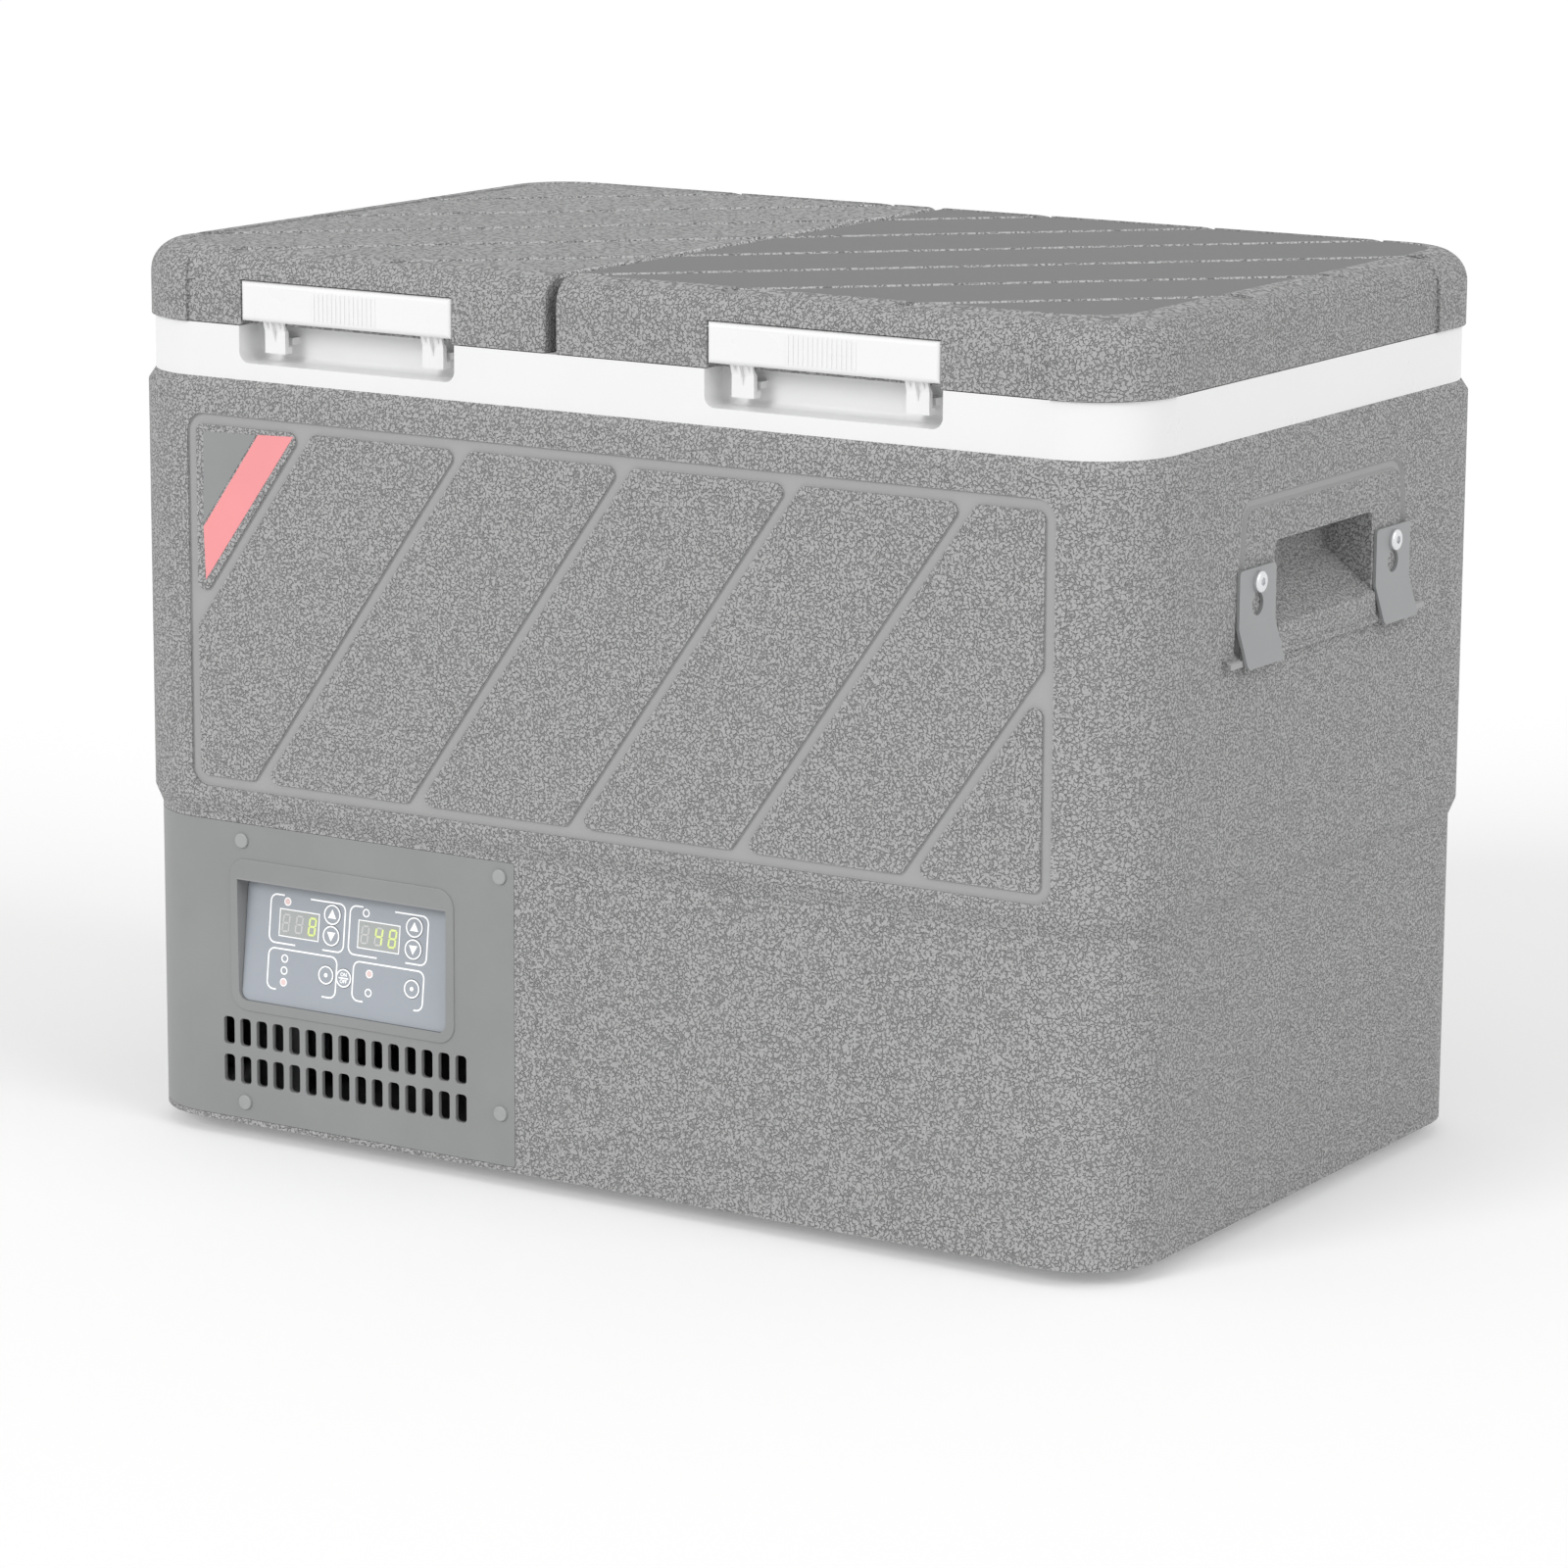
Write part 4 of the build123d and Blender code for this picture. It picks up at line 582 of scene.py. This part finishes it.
# %% Trees for printed marks
def start_geometry(name, inputs):
    """A geometry tree with float inputs {name: default} and one material input."""
    tree = bpy.data.node_groups.new(name, "GeometryNodeTree")
    tree.interface.new_socket("Geometry", in_out="INPUT", socket_type="NodeSocketGeometry")
    for label, value in inputs.items():
        socket = tree.interface.new_socket(label, in_out="INPUT", socket_type="NodeSocketFloat")
        socket.default_value = value
    tree.interface.new_socket("Material", in_out="INPUT", socket_type="NodeSocketMaterial")
    tree.interface.new_socket("Geometry", in_out="OUTPUT", socket_type="NodeSocketGeometry")
    return tree, tree.nodes.new("NodeGroupInput"), tree.nodes.new("NodeGroupOutput")


def close_geometry(tree, source, target, geometry):
    """Realize what was instanced, set the material and end the tree."""
    real = tree.nodes.new("GeometryNodeRealizeInstances")
    tree.links.new(geometry, real.inputs[0])
    finish = tree.nodes.new("GeometryNodeSetMaterial")
    tree.links.new(real.outputs[0], finish.inputs["Geometry"])
    tree.links.new(source.outputs["Material"], finish.inputs["Material"])
    tree.links.new(finish.outputs[0], target.inputs["Geometry"])
    return tree


def ink_line_tree():
    """Flat lines along the edges of a mesh that lies in the XY plane."""
    tree, source, target = start_geometry("ink lines", {"Width": 0.0008, "Height": 0.0001})
    path = tree.nodes.new("GeometryNodeMeshToCurve")
    tree.links.new(source.outputs["Geometry"], path.inputs["Mesh"])
    upright = tree.nodes.new("GeometryNodeSetCurveNormal")
    upright.mode = "Z_UP"
    tree.links.new(path.outputs[0], upright.inputs[0])
    section = tree.nodes.new("GeometryNodeCurvePrimitiveQuadrilateral")
    tree.links.new(source.outputs["Width"], section.inputs["Width"])
    tree.links.new(source.outputs["Height"], section.inputs["Height"])
    body = add(tree, "GeometryNodeCurveToMesh", values={"Fill Caps": True})
    tree.links.new(upright.outputs[0], body.inputs["Curve"])
    tree.links.new(section.outputs[0], body.inputs["Profile Curve"])
    return close_geometry(tree, source, target, body.outputs[0])


def ink_dot_tree():
    """A flat disc on every point of a mesh."""
    tree, source, target = start_geometry("ink dots", {"Radius": 0.001, "Height": 0.0001})
    disc = add(tree, "GeometryNodeMeshCylinder", values={"Vertices": 20})
    tree.links.new(source.outputs["Radius"], disc.inputs["Radius"])
    tree.links.new(source.outputs["Height"], disc.inputs["Depth"])
    places = tree.nodes.new("GeometryNodeInstanceOnPoints")
    tree.links.new(source.outputs["Geometry"], places.inputs["Points"])
    tree.links.new(disc.outputs["Mesh"], places.inputs["Instance"])
    return close_geometry(tree, source, target, places.outputs[0])


INK_LINES = ink_line_tree()
INK_DOTS = ink_dot_tree()
print("trees:", INK_LINES.name, "and", INK_DOTS.name)

# %% [markdown]
# A modifier's inputs are set by their sockets' identifiers before the object is first evaluated. The
# result is copied out as a plain mesh, moved to its place, and the modifier goes away with its object.


# %% Run a tree and keep its mesh
def new_object(name, data):
    """A new object in the scene."""
    item = bpy.data.objects.new(name, data)
    scene.collection.objects.link(item)
    return item


def grow(name, points, edges, tree, values, material, place):
    """Run a tree on loose points and edges, and return the result as a plain mesh object."""
    seed = bpy.data.meshes.new(name + "_path")
    seed.from_pydata([tuple(point) + (0.0,) * (3 - len(point)) for point in points], edges, [])
    carrier = new_object(name + "_path", seed)
    modifier = carrier.modifiers.new("tree", "NODES")
    modifier.node_group = tree
    for item in tree.interface.items_tree:
        if item.item_type == "SOCKET" and item.in_out == "INPUT" and item.name != "Geometry":
            modifier[item.identifier] = material if item.name == "Material" else values[item.name]
    graph = bpy.context.evaluated_depsgraph_get()
    mesh = bpy.data.meshes.new_from_object(carrier.evaluated_get(graph))
    mesh.name = name
    mesh.transform(place)
    piece = new_object(name, mesh)
    bpy.data.objects.remove(carrier)
    bpy.data.meshes.remove(seed)
    return piece


def rounded_path(left, right, top, bottom, radius, steps=6):
    """Corner points of a rounded rectangle, clockwise from the top left."""
    points = []
    corners = (
        (left + radius, top - radius, 180),
        (right - radius, top - radius, 90),
        (right - radius, bottom + radius, 0),
        (left + radius, bottom + radius, 270),
    )
    for x, y, turn in corners:
        for step in range(steps + 1):
            angle = math.radians(turn - 90 * step / steps)
            points.append((x + radius * math.cos(angle), y + radius * math.sin(angle)))
    return points


def ring_path(x, y, radius, steps=36):
    """Points of a circle."""
    turns = [2 * math.pi * step / steps for step in range(steps)]
    return [(x + radius * math.cos(turn), y + radius * math.sin(turn)) for turn in turns]


def closed_edges(count, first=0):
    """Edges that close a loop of points."""
    return [(first + index, first + (index + 1) % count) for index in range(count)]


print("helpers ready")

# %% [markdown]
# The panel is printed with four rounded frames, two for the bins and two for the settings, with breaks
# where captions would stand. Here the captions are left out and the breaks stay.


# %% Printed frames
ink_white_painted_glow = plain_skin("ink_white_painted_glow", levels(255, 255, 255), rough=0.4, depth=0.00001, edge=0.0, uneven=0.0)
lamp_glow = plain_skin("lamp_glow", levels(240, 214, 212), rough=0.3, depth=0.00001, edge=0.0)
# Painted glow: the printed ink, which is no lamp, gives off a faint light so it reads brighter.
ink_glow_shader = principled(ink_white_painted_glow.node_tree)
ink_glow_shader.inputs["Emission Color"].default_value = (1.0, 1.0, 1.0, 1.0)
ink_glow_shader.inputs["Emission Strength"].default_value = 0.25
INK = 0.1 * MM
INK_LIFT = 0.06 * MM
FRAME_CORNER = 4.5 * MM
SAME_LEVEL = 0.001 * MM
# Top left, bottom right, break in the top line and break in the bottom line, all as shares of the glass.
FRAMES = (
    ((0.117, 0.1), (0.481, 0.495), (0.182, 0.31), (0.247, 0.38)),
    ((0.505, 0.096), (0.882, 0.492), (0.566, 0.72), (0.645, 0.783)),
    ((0.12, 0.54), (0.455, 0.875), None, (0.165, 0.39)),
    ((0.536, 0.542), (0.876, 0.862), None, (0.59, 0.835)),
)


def cut_by_breaks(start, end, breaks):
    """The stretches of one edge that remain beside a break (level, near, far)."""
    for level, near, far in breaks:
        on_level = abs(start[1] - level) < SAME_LEVEL and abs(end[1] - level) < SAME_LEVEL
        if on_level and abs(start[0] - end[0]) > far - near:
            first, second = (near, far) if start[0] < end[0] else (far, near)
            return [(start, (first, level)), ((second, level), end)]
    return [(start, end)]


line_points = []
line_edges = []
for top_left, bottom_right, top_break, bottom_break in FRAMES:
    left, top = spot(*top_left)
    right, bottom = spot(*bottom_right)
    breaks = [
        (level, spot(shares[0], 0)[0], spot(shares[1], 0)[0])
        for level, shares in ((top, top_break), (bottom, bottom_break))
        if shares
    ]
    loop = rounded_path(left, right, top, bottom, FRAME_CORNER)
    for start, end in zip(loop, loop[1:] + loop[:1]):
        for begin, stop in cut_by_breaks(start, end, breaks):
            line_edges.append((len(line_points), len(line_points) + 1))
            line_points.extend((begin, stop))
panel_frames = grow(
    "panel_frames",
    line_points,
    line_edges,
    INK_LINES,
    {"Width": 1.0 * MM, "Height": INK},
    ink_white_painted_glow,
    over_glass(INK_LIFT),
)
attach(panel_frames, "case")
print("frame strokes:", len(line_edges))

# %% [markdown]
# Each lamp is ringed. A ring is a closed loop for the line tree, and a disc fills the lamps that are lit.

# %% Rings and lit lamps
LAMP_RADIUS = 2.2 * MM
LAMP_STEPS = 24
# Share across, share down, lit.
LAMPS = (
    (0.199, 0.148, True),
    (0.582, 0.142, False),
    (0.2, 0.615, False),
    (0.2, 0.714, False),
    (0.2, 0.81, True),
    (0.614, 0.629, True),
    (0.614, 0.783, False),
)
ring_points = []
ring_edges = []
for across, down, _ in LAMPS:
    loop = ring_path(*spot(across, down), LAMP_RADIUS, LAMP_STEPS)
    ring_edges.extend(closed_edges(len(loop), len(ring_points)))
    ring_points.extend(loop)
lamp_rings = grow(
    "lamp_rings",
    ring_points,
    ring_edges,
    INK_LINES,
    {"Width": 0.85 * MM, "Height": INK},
    ink_white_painted_glow,
    over_glass(INK_LIFT),
)
lit_lamps = grow(
    "lit_lamps",
    [spot(across, down) for across, down, lit in LAMPS if lit],
    [],
    INK_DOTS,
    {"Radius": LAMP_RADIUS - 0.2 * MM, "Height": 0.12 * MM},
    lamp_glow,
    over_glass(INK_LIFT),
)
for piece in (lamp_rings, lit_lamps):
    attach(piece, "case")
print("lamp rings:", len(ring_edges) // LAMP_STEPS)

# %% [markdown]
# Each button carries a white ring, and in it a triangle, a dot or the plain words ON and OFF. The marks
# sit on the button's own face and ride with it, so they move when it is pressed. Their place on the glass
# comes from the button's box, and their height from how proud the buttons stand.

# %% Marks on the buttons
BUTTON_PROUD = 0.3 * MM
signs = {
    "left_up_button": "up",
    "left_down_button": "down",
    "right_up_button": "up",
    "right_down_button": "down",
    "battery_set_button": "dot",
    "power_button": "switch",
    "speed_set_button": "dot",
}


def flat_sign(name, outline, thickness, material, place):
    """A thin closed plate from a flat outline, moved to its place."""
    count = len(outline)
    points = [(x, y, -thickness / 2) for x, y in outline] + [(x, y, thickness / 2) for x, y in outline]
    sides = [(i, (i + 1) % count, count + (i + 1) % count, count + i) for i in range(count)]
    faces = [tuple(range(count))[::-1], tuple(range(count, 2 * count))] + sides
    mesh = bpy.data.meshes.new(name)
    mesh.from_pydata(points, [], faces)
    mesh.materials.append(material)
    mesh.transform(place)
    return new_object(name, mesh)


def flat_word(name, word, size, thickness, material, place):
    """A word as a thin mesh, centred on its place."""
    text = bpy.data.curves.new(name, "FONT")
    text.body = word
    text.size = size
    text.align_x = "CENTER"
    text.align_y = "CENTER"
    text.extrude = thickness / 2
    text.offset = 0.02 * size
    carrier = new_object(name + "_text", text)
    graph = bpy.context.evaluated_depsgraph_get()
    mesh = bpy.data.meshes.new_from_object(carrier.evaluated_get(graph))
    mesh.name = name
    mesh.materials.clear()
    mesh.materials.append(material)
    mesh.transform(place)
    piece = new_object(name, mesh)
    bpy.data.objects.remove(carrier)
    return piece


ARROW = ((-0.48, -0.36), (0.48, -0.36), (0.0, 0.52))
RING_INSET = 0.6 * MM
for button, sign in signs.items():
    low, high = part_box(button)
    radius = (high.x - low.x) / 2
    middle = ON_GLASS.inverted() @ ((low + high) / 2)
    face = ON_GLASS @ Matrix.Translation((middle.x, middle.y, BUTTON_PROUD + INK / 2))
    points = ring_path(0, 0, radius - RING_INSET)
    edges = closed_edges(len(points))
    if sign == "switch":
        edges.append((len(points), len(points) + 1))
        points += [(-0.6 * radius, 0), (0.6 * radius, 0)]
    body = button + "_key"
    ring_size = {"Width": 0.9 * MM, "Height": INK}
    marks = [grow(button + "_ring", points, edges, INK_LINES, ring_size, ink_white_painted_glow, face)]
    if sign == "switch":
        for word, height in (("ON", 0.36 * radius), ("OFF", -0.36 * radius)):
            place = face @ Matrix.Translation((0, height, 0))
            name = f"{button}_{word.lower()}"
            marks.append(flat_word(name, word, 0.52 * radius, INK, ink_white_painted_glow, place))
    elif sign == "dot":
        outline = ring_path(0, 0, 0.22 * radius, 20)
        marks.append(flat_sign(button + "_dot", outline, INK, ink_white_painted_glow, face))
    else:
        turn = 1 if sign == "up" else -1
        outline = [(x * radius, turn * y * radius) for x, y in ARROW][::turn]
        marks.append(flat_sign(button + "_arrow", outline, INK, ink_white_painted_glow, face))
    for mark in marks:
        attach(mark, body)
print("button signs:", len(signs))

# %% [markdown]
# Two windows show three-place numbers with seven strokes each. Every stroke is a short line for the same
# tree, so a digit is only a list of strokes. Lit strokes glow yellow-green, the others are just visible.

# %% Number windows
window_pale = plain_skin("window_pale", levels(178, 182, 180), rough=0.25, depth=0.00001, edge=0.0)
stroke_dim = plain_skin("stroke_dim", levels(214, 215, 214), rough=0.3, depth=0.00001, edge=0.0)
stroke_lit, lit_tree, lit_shader = start_material("stroke_lit")
lit_cloud = group_node(lit_tree, FINE_SKIN, {"Cloud scale": 90.0}).outputs["Cloud"]
lit_colour = blend_colours(lit_tree, lit_cloud, levels(222, 238, 146), levels(232, 244, 166))
lit_tree.links.new(lit_colour, lit_shader.inputs["Base Color"])
lit_tree.links.new(lit_colour, lit_shader.inputs["Emission Color"])
lit_shader.inputs["Emission Strength"].default_value = 0.2
STROKES = {
    "a": ((0, 2), (1, 2)),
    "b": ((1, 2), (1, 1)),
    "c": ((1, 1), (1, 0)),
    "d": ((0, 0), (1, 0)),
    "e": ((0, 1), (0, 0)),
    "f": ((0, 2), (0, 1)),
    "g": ((0, 1), (1, 1)),
}
DIGITS = {" ": "", "4": "bcfg", "8": "abcdefg"}
DIGIT_INSET = 0.27
DIGIT_LEAN = 0.1
STROKE_TRIM = 0.07


def window(name, across, down, shown):
    """One number window: pale glass, white rim, and lit and dim strokes."""
    left, top = spot(across[0], down[0])
    right, bottom = spot(across[1], down[1])
    corners = [(left, bottom), (right, bottom), (right, top), (left, top)]
    pane = flat_sign(name + "_pane", corners, 0.08 * MM, window_pale, over_glass(0.04 * MM))
    size = {"Width": 0.9 * MM, "Height": 0.16 * MM}
    rim = grow(name + "_rim", corners, closed_edges(4), INK_LINES, size, ink_white_painted_glow, over_glass(0.08 * MM))
    pieces = [pane, rim]
    width = (right - left) / 3
    stroke_wide, stroke_high = 0.46 * width, 0.31 * (top - bottom)
    groups = {"lit": [], "dim": []}
    for place, digit in enumerate(shown):
        x0 = left + (place + DIGIT_INSET) * width
        y0 = (top + bottom) / 2 - stroke_high
        for letter, (start, end) in STROKES.items():
            ends = []
            for across_step, up_step in (start, end):
                lean = DIGIT_LEAN * (up_step - 1) * stroke_high
                ends.append((x0 + across_step * stroke_wide + lean, y0 + up_step * stroke_high))
            (ax, ay), (bx, by) = ends
            begin = (ax + (bx - ax) * STROKE_TRIM, ay + (by - ay) * STROKE_TRIM)
            stop = (bx - (bx - ax) * STROKE_TRIM, by - (by - ay) * STROKE_TRIM)
            groups["lit" if letter in DIGITS[digit] else "dim"].append((begin, stop))
    for state, material in (("lit", stroke_lit), ("dim", stroke_dim)):
        points = [point for stroke in groups[state] for point in stroke]
        edges = [(2 * index, 2 * index + 1) for index in range(len(groups[state]))]
        size = {"Width": 1.35 * MM, "Height": 0.08 * MM}
        place = over_glass(0.12 * MM)
        pieces.append(grow(f"{name}_{state}", points, edges, INK_LINES, size, material, place))
    for piece in pieces:
        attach(piece, "case")


window("left_window", (0.165, 0.357), (0.212, 0.434), "  8")
window("right_window", (0.549, 0.748), (0.205, 0.43), " 48")
print("windows: 2")

# %% [markdown]
# Each bin has a lift-out basket of welded round wire. The CAD solid has square bars, which are quick to
# check for contact, so here the same runs are drawn as paths and one tree gives them a round section with
# bent corners. The second row of bars lies inside the first, as welded wires do.


# %% Wire baskets
def round_wire_tree():
    """Round wire with bent corners along the edges of a mesh."""
    tree, source, target = start_geometry("round wires", {"Wire radius": 0.0018, "Bend radius": 0.015})
    path = tree.nodes.new("GeometryNodeMeshToCurve")
    tree.links.new(source.outputs["Geometry"], path.inputs["Mesh"])
    bend = add(tree, "GeometryNodeFilletCurve", {"mode": "POLY"}, {"Count": 6, "Limit Radius": True})
    tree.links.new(path.outputs[0], bend.inputs["Curve"])
    tree.links.new(source.outputs["Bend radius"], bend.inputs["Radius"])
    section = add(tree, "GeometryNodeCurvePrimitiveCircle", values={"Resolution": 10})
    tree.links.new(source.outputs["Wire radius"], section.inputs["Radius"])
    body = add(tree, "GeometryNodeCurveToMesh", values={"Fill Caps": True})
    tree.links.new(bend.outputs[0], body.inputs["Curve"])
    tree.links.new(section.outputs[0], body.inputs["Profile Curve"])
    smooth = tree.nodes.new("GeometryNodeSetShadeSmooth")
    tree.links.new(body.outputs[0], smooth.inputs[0])
    return close_geometry(tree, source, target, smooth.outputs[0])


ROUND_WIRES = round_wire_tree()
WIRE = 3.6 * MM
WIRE_PITCH = 52.0 * MM
HOOP_CORNER = 21.0 * MM
BAR_BEND = 16.0 * MM
ROW_INSET = 0.8 * WIRE


def basket_paths(low, high):
    """Points and edges of two hoops and two rows of U-shaped bars inside a box."""
    middle = (low + high) / 2
    half = (high - low) / 2 - Vector((WIRE, WIRE, WIRE)) / 2
    hoops = ([], [])
    bars = ([], [])

    def draw(store, path, closed):
        points, edges = store
        first = len(points)
        points.extend(path)
        edges.extend((first + step, first + step + 1) for step in range(len(path) - 1))
        if closed:
            edges.append((first + len(path) - 1, first))

    for z in (middle.z + half.z, middle.z):
        turns = ((-1, -1), (1, -1), (1, 1), (-1, 1))
        draw(hoops, [(middle.x + x * half.x, middle.y + y * half.y, z) for x, y in turns], True)
    for along, inset in ((0, 0.0), (1, ROW_INSET)):
        across = 1 - along
        flat = half[across] - HOOP_CORNER
        count = int(2 * flat // WIRE_PITCH) + 1
        reach = half[along] - inset
        for index in range(count):
            offset = -flat + 2 * flat * index / (count - 1)
            path = []
            for share, level in ((-1, half.z), (-1, inset - half.z), (1, inset - half.z), (1, half.z)):
                point = Vector((0, 0, middle.z + level))
                point[along] = middle[along] + share * reach
                point[across] = middle[across] + offset
                path.append(tuple(point))
            draw(bars, path, False)
    return hoops, bars


for side in ("left", "right"):
    node = side + "_basket"
    low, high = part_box(node)
    hoops, bars = basket_paths(low, high)
    for part, (points, edges), bend in (("hoops", hoops, HOOP_CORNER), ("bars", bars, BAR_BEND)):
        sizes = {"Wire radius": WIRE / 2, "Bend radius": bend}
        finish = finishes["basket_wire"]
        wires = grow(f"{node}_{part}", points, edges, ROUND_WIRES, sizes, finish, Matrix())
        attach(wires, "case")
        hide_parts(node)
        print(wires.name, len(wires.data.polygons), "faces")

# %% [markdown]
# A badge sits in the first corner of the front panel: a smooth grey plate and a slanted red band. It is
# left bare. Each is a thin plate with a small bevel, set half into the grained face.

# %% Badge
FRONT = -232.0 * MM
BADGE_THICKNESS = 0.6 * MM
TO_FRONT = Matrix(((1, 0, 0, 0), (0, 0, -1, FRONT), (0, 1, 0, 0), (0, 0, 0, 1)))
badge_red = plain_skin("badge_red", levels(250, 160, 163), rough=0.35, depth=0.00002, edge=0.1)
badge_grey = plain_skin("badge_grey", levels(150, 152, 152), rough=0.4, depth=0.00002, edge=0.1)
band = [(-285.3, 382.5), (-284.0, 350.0), (-216.8, 443.0), (-243.2, 442.0)]
plate = [(-285.4, 384.4), (-244.6, 441.8), (-284.4, 440.8)]
for name, outline, material in (("badge_band", band, badge_red), ("badge_plate", plate, badge_grey)):
    corners = [(x * MM, z * MM) for x, z in outline]
    piece = flat_sign(name, corners, BADGE_THICKNESS, material, TO_FRONT)
    bevel = piece.modifiers.new("soft edge", "BEVEL")
    bevel.width = 0.15 * MM
    bevel.segments = 2
    graph = bpy.context.evaluated_depsgraph_get()
    finished = bpy.data.meshes.new_from_object(piece.evaluated_get(graph))
    piece.modifiers.clear()
    piece.data = finished
    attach(piece, "case")
print("badge plates: 2")

# %% [markdown]
# The stage is a plain pale floor under soft light. Two broad suns and an even sky bring every face to
# about the brightness it is written with, so colours can be judged. The floor and the sky look white to
# the camera and in reflections, and the floor keeps the object's shadow.


# %% Stage and light
def seen_directly(tree):
    """One for rays from the camera, a reflection or clear glass, zero for those that only light things."""
    rays = tree.nodes.new("ShaderNodeLightPath")
    seen = maths(tree, "MAXIMUM", rays.outputs["Is Camera Ray"], rays.outputs["Is Glossy Ray"])
    return maths(tree, "MAXIMUM", seen, rays.outputs["Is Transmission Ray"])


FLOOR_REACH = 40.0
floor_mesh = bpy.data.meshes.new("floor")
floor_corners = [(x * FLOOR_REACH, y * FLOOR_REACH, 0) for x, y in ((-1, -1), (1, -1), (1, 1), (-1, 1))]
floor_mesh.from_pydata(floor_corners, [], [(0, 1, 2, 3)])
floor = new_object("floor", floor_mesh)
floor_material = bpy.data.materials.new("studio_floor")
floor_material.use_nodes = True
floor_tree = floor_material.node_tree
floor_tree.nodes.clear()
matte = add(floor_tree, "ShaderNodeBsdfDiffuse", values={"Color": (0.9, 0.9, 0.9, 1.0)})
glow = add(floor_tree, "ShaderNodeEmission", values={"Strength": 0.22})
dark = add(floor_tree, "ShaderNodeEmission", values={"Strength": 0.0})
extra = floor_tree.nodes.new("ShaderNodeMixShader")
floor_tree.links.new(seen_directly(floor_tree), extra.inputs[0])
floor_tree.links.new(dark.outputs[0], extra.inputs[1])
floor_tree.links.new(glow.outputs[0], extra.inputs[2])
both = floor_tree.nodes.new("ShaderNodeAddShader")
floor_tree.links.new(matte.outputs[0], both.inputs[0])
floor_tree.links.new(extra.outputs[0], both.inputs[1])
surface = floor_tree.nodes.new("ShaderNodeOutputMaterial")
floor_tree.links.new(both.outputs[0], surface.inputs["Surface"])
floor_mesh.materials.append(floor_material)

sky = bpy.data.worlds.new("studio")
scene.world = sky
sky.use_nodes = True
sky_tree = sky.node_tree
background = next(node for node in sky_tree.nodes if node.type == "BACKGROUND")
background.inputs["Color"].default_value = (1.0, 1.0, 1.0, 1.0)
strength = add(sky_tree, "ShaderNodeMapRange", values={"To Min": 0.57, "To Max": 1.0})
sky_tree.links.new(seen_directly(sky_tree), strength.inputs["Value"])
sky_tree.links.new(strength.outputs["Result"], background.inputs["Strength"])


def sun(name, direction, strength, softness):
    """A broad sun that shines along a direction."""
    lamp = bpy.data.lights.new(name, "SUN")
    lamp.energy = strength
    lamp.angle = math.radians(softness)
    new_object(name, lamp).rotation_euler = Vector(direction).to_track_quat("-Z", "Y").to_euler()


sun("key", (0.25, 0.85, -0.46), 1.15, 25)
sun("fill", (-0.85, 0.1, -0.5), 0.85, 40)
scene.view_settings.view_transform = "Standard"

# %% [markdown]
# The camera stands to the front right, a little above the lids, with a long lens that keeps the uprights
# nearly parallel. It is aimed by its own turn about the upright axis, its downward tilt and a slight roll.

# %% Camera
CAMERA_PLACE = Matrix.Translation((1.8305, -2.9445, 0.9521))
turn, tilt, roll = math.radians(32.074), math.radians(11.996), math.radians(0.325)
ahead = Vector((-math.sin(turn) * math.cos(tilt), math.cos(turn) * math.cos(tilt), -math.sin(tilt)))
right = Vector((math.cos(turn), math.sin(turn), 0))
above = right.cross(ahead)
camera_right = math.cos(roll) * right + math.sin(roll) * above
camera_up = math.cos(roll) * above - math.sin(roll) * right
camera_data = bpy.data.cameras.new("camera")
camera_data.sensor_width = 36.0
camera_data.lens = 131.31
camera_data.clip_end = 200.0
camera = new_object("camera", camera_data)
axes = Matrix((camera_right, camera_up, -ahead)).transposed().to_4x4()
camera.matrix_world = CAMERA_PLACE @ axes
scene.camera = camera
print("lens:", camera_data.lens, "mm")

# %% Finish
import json
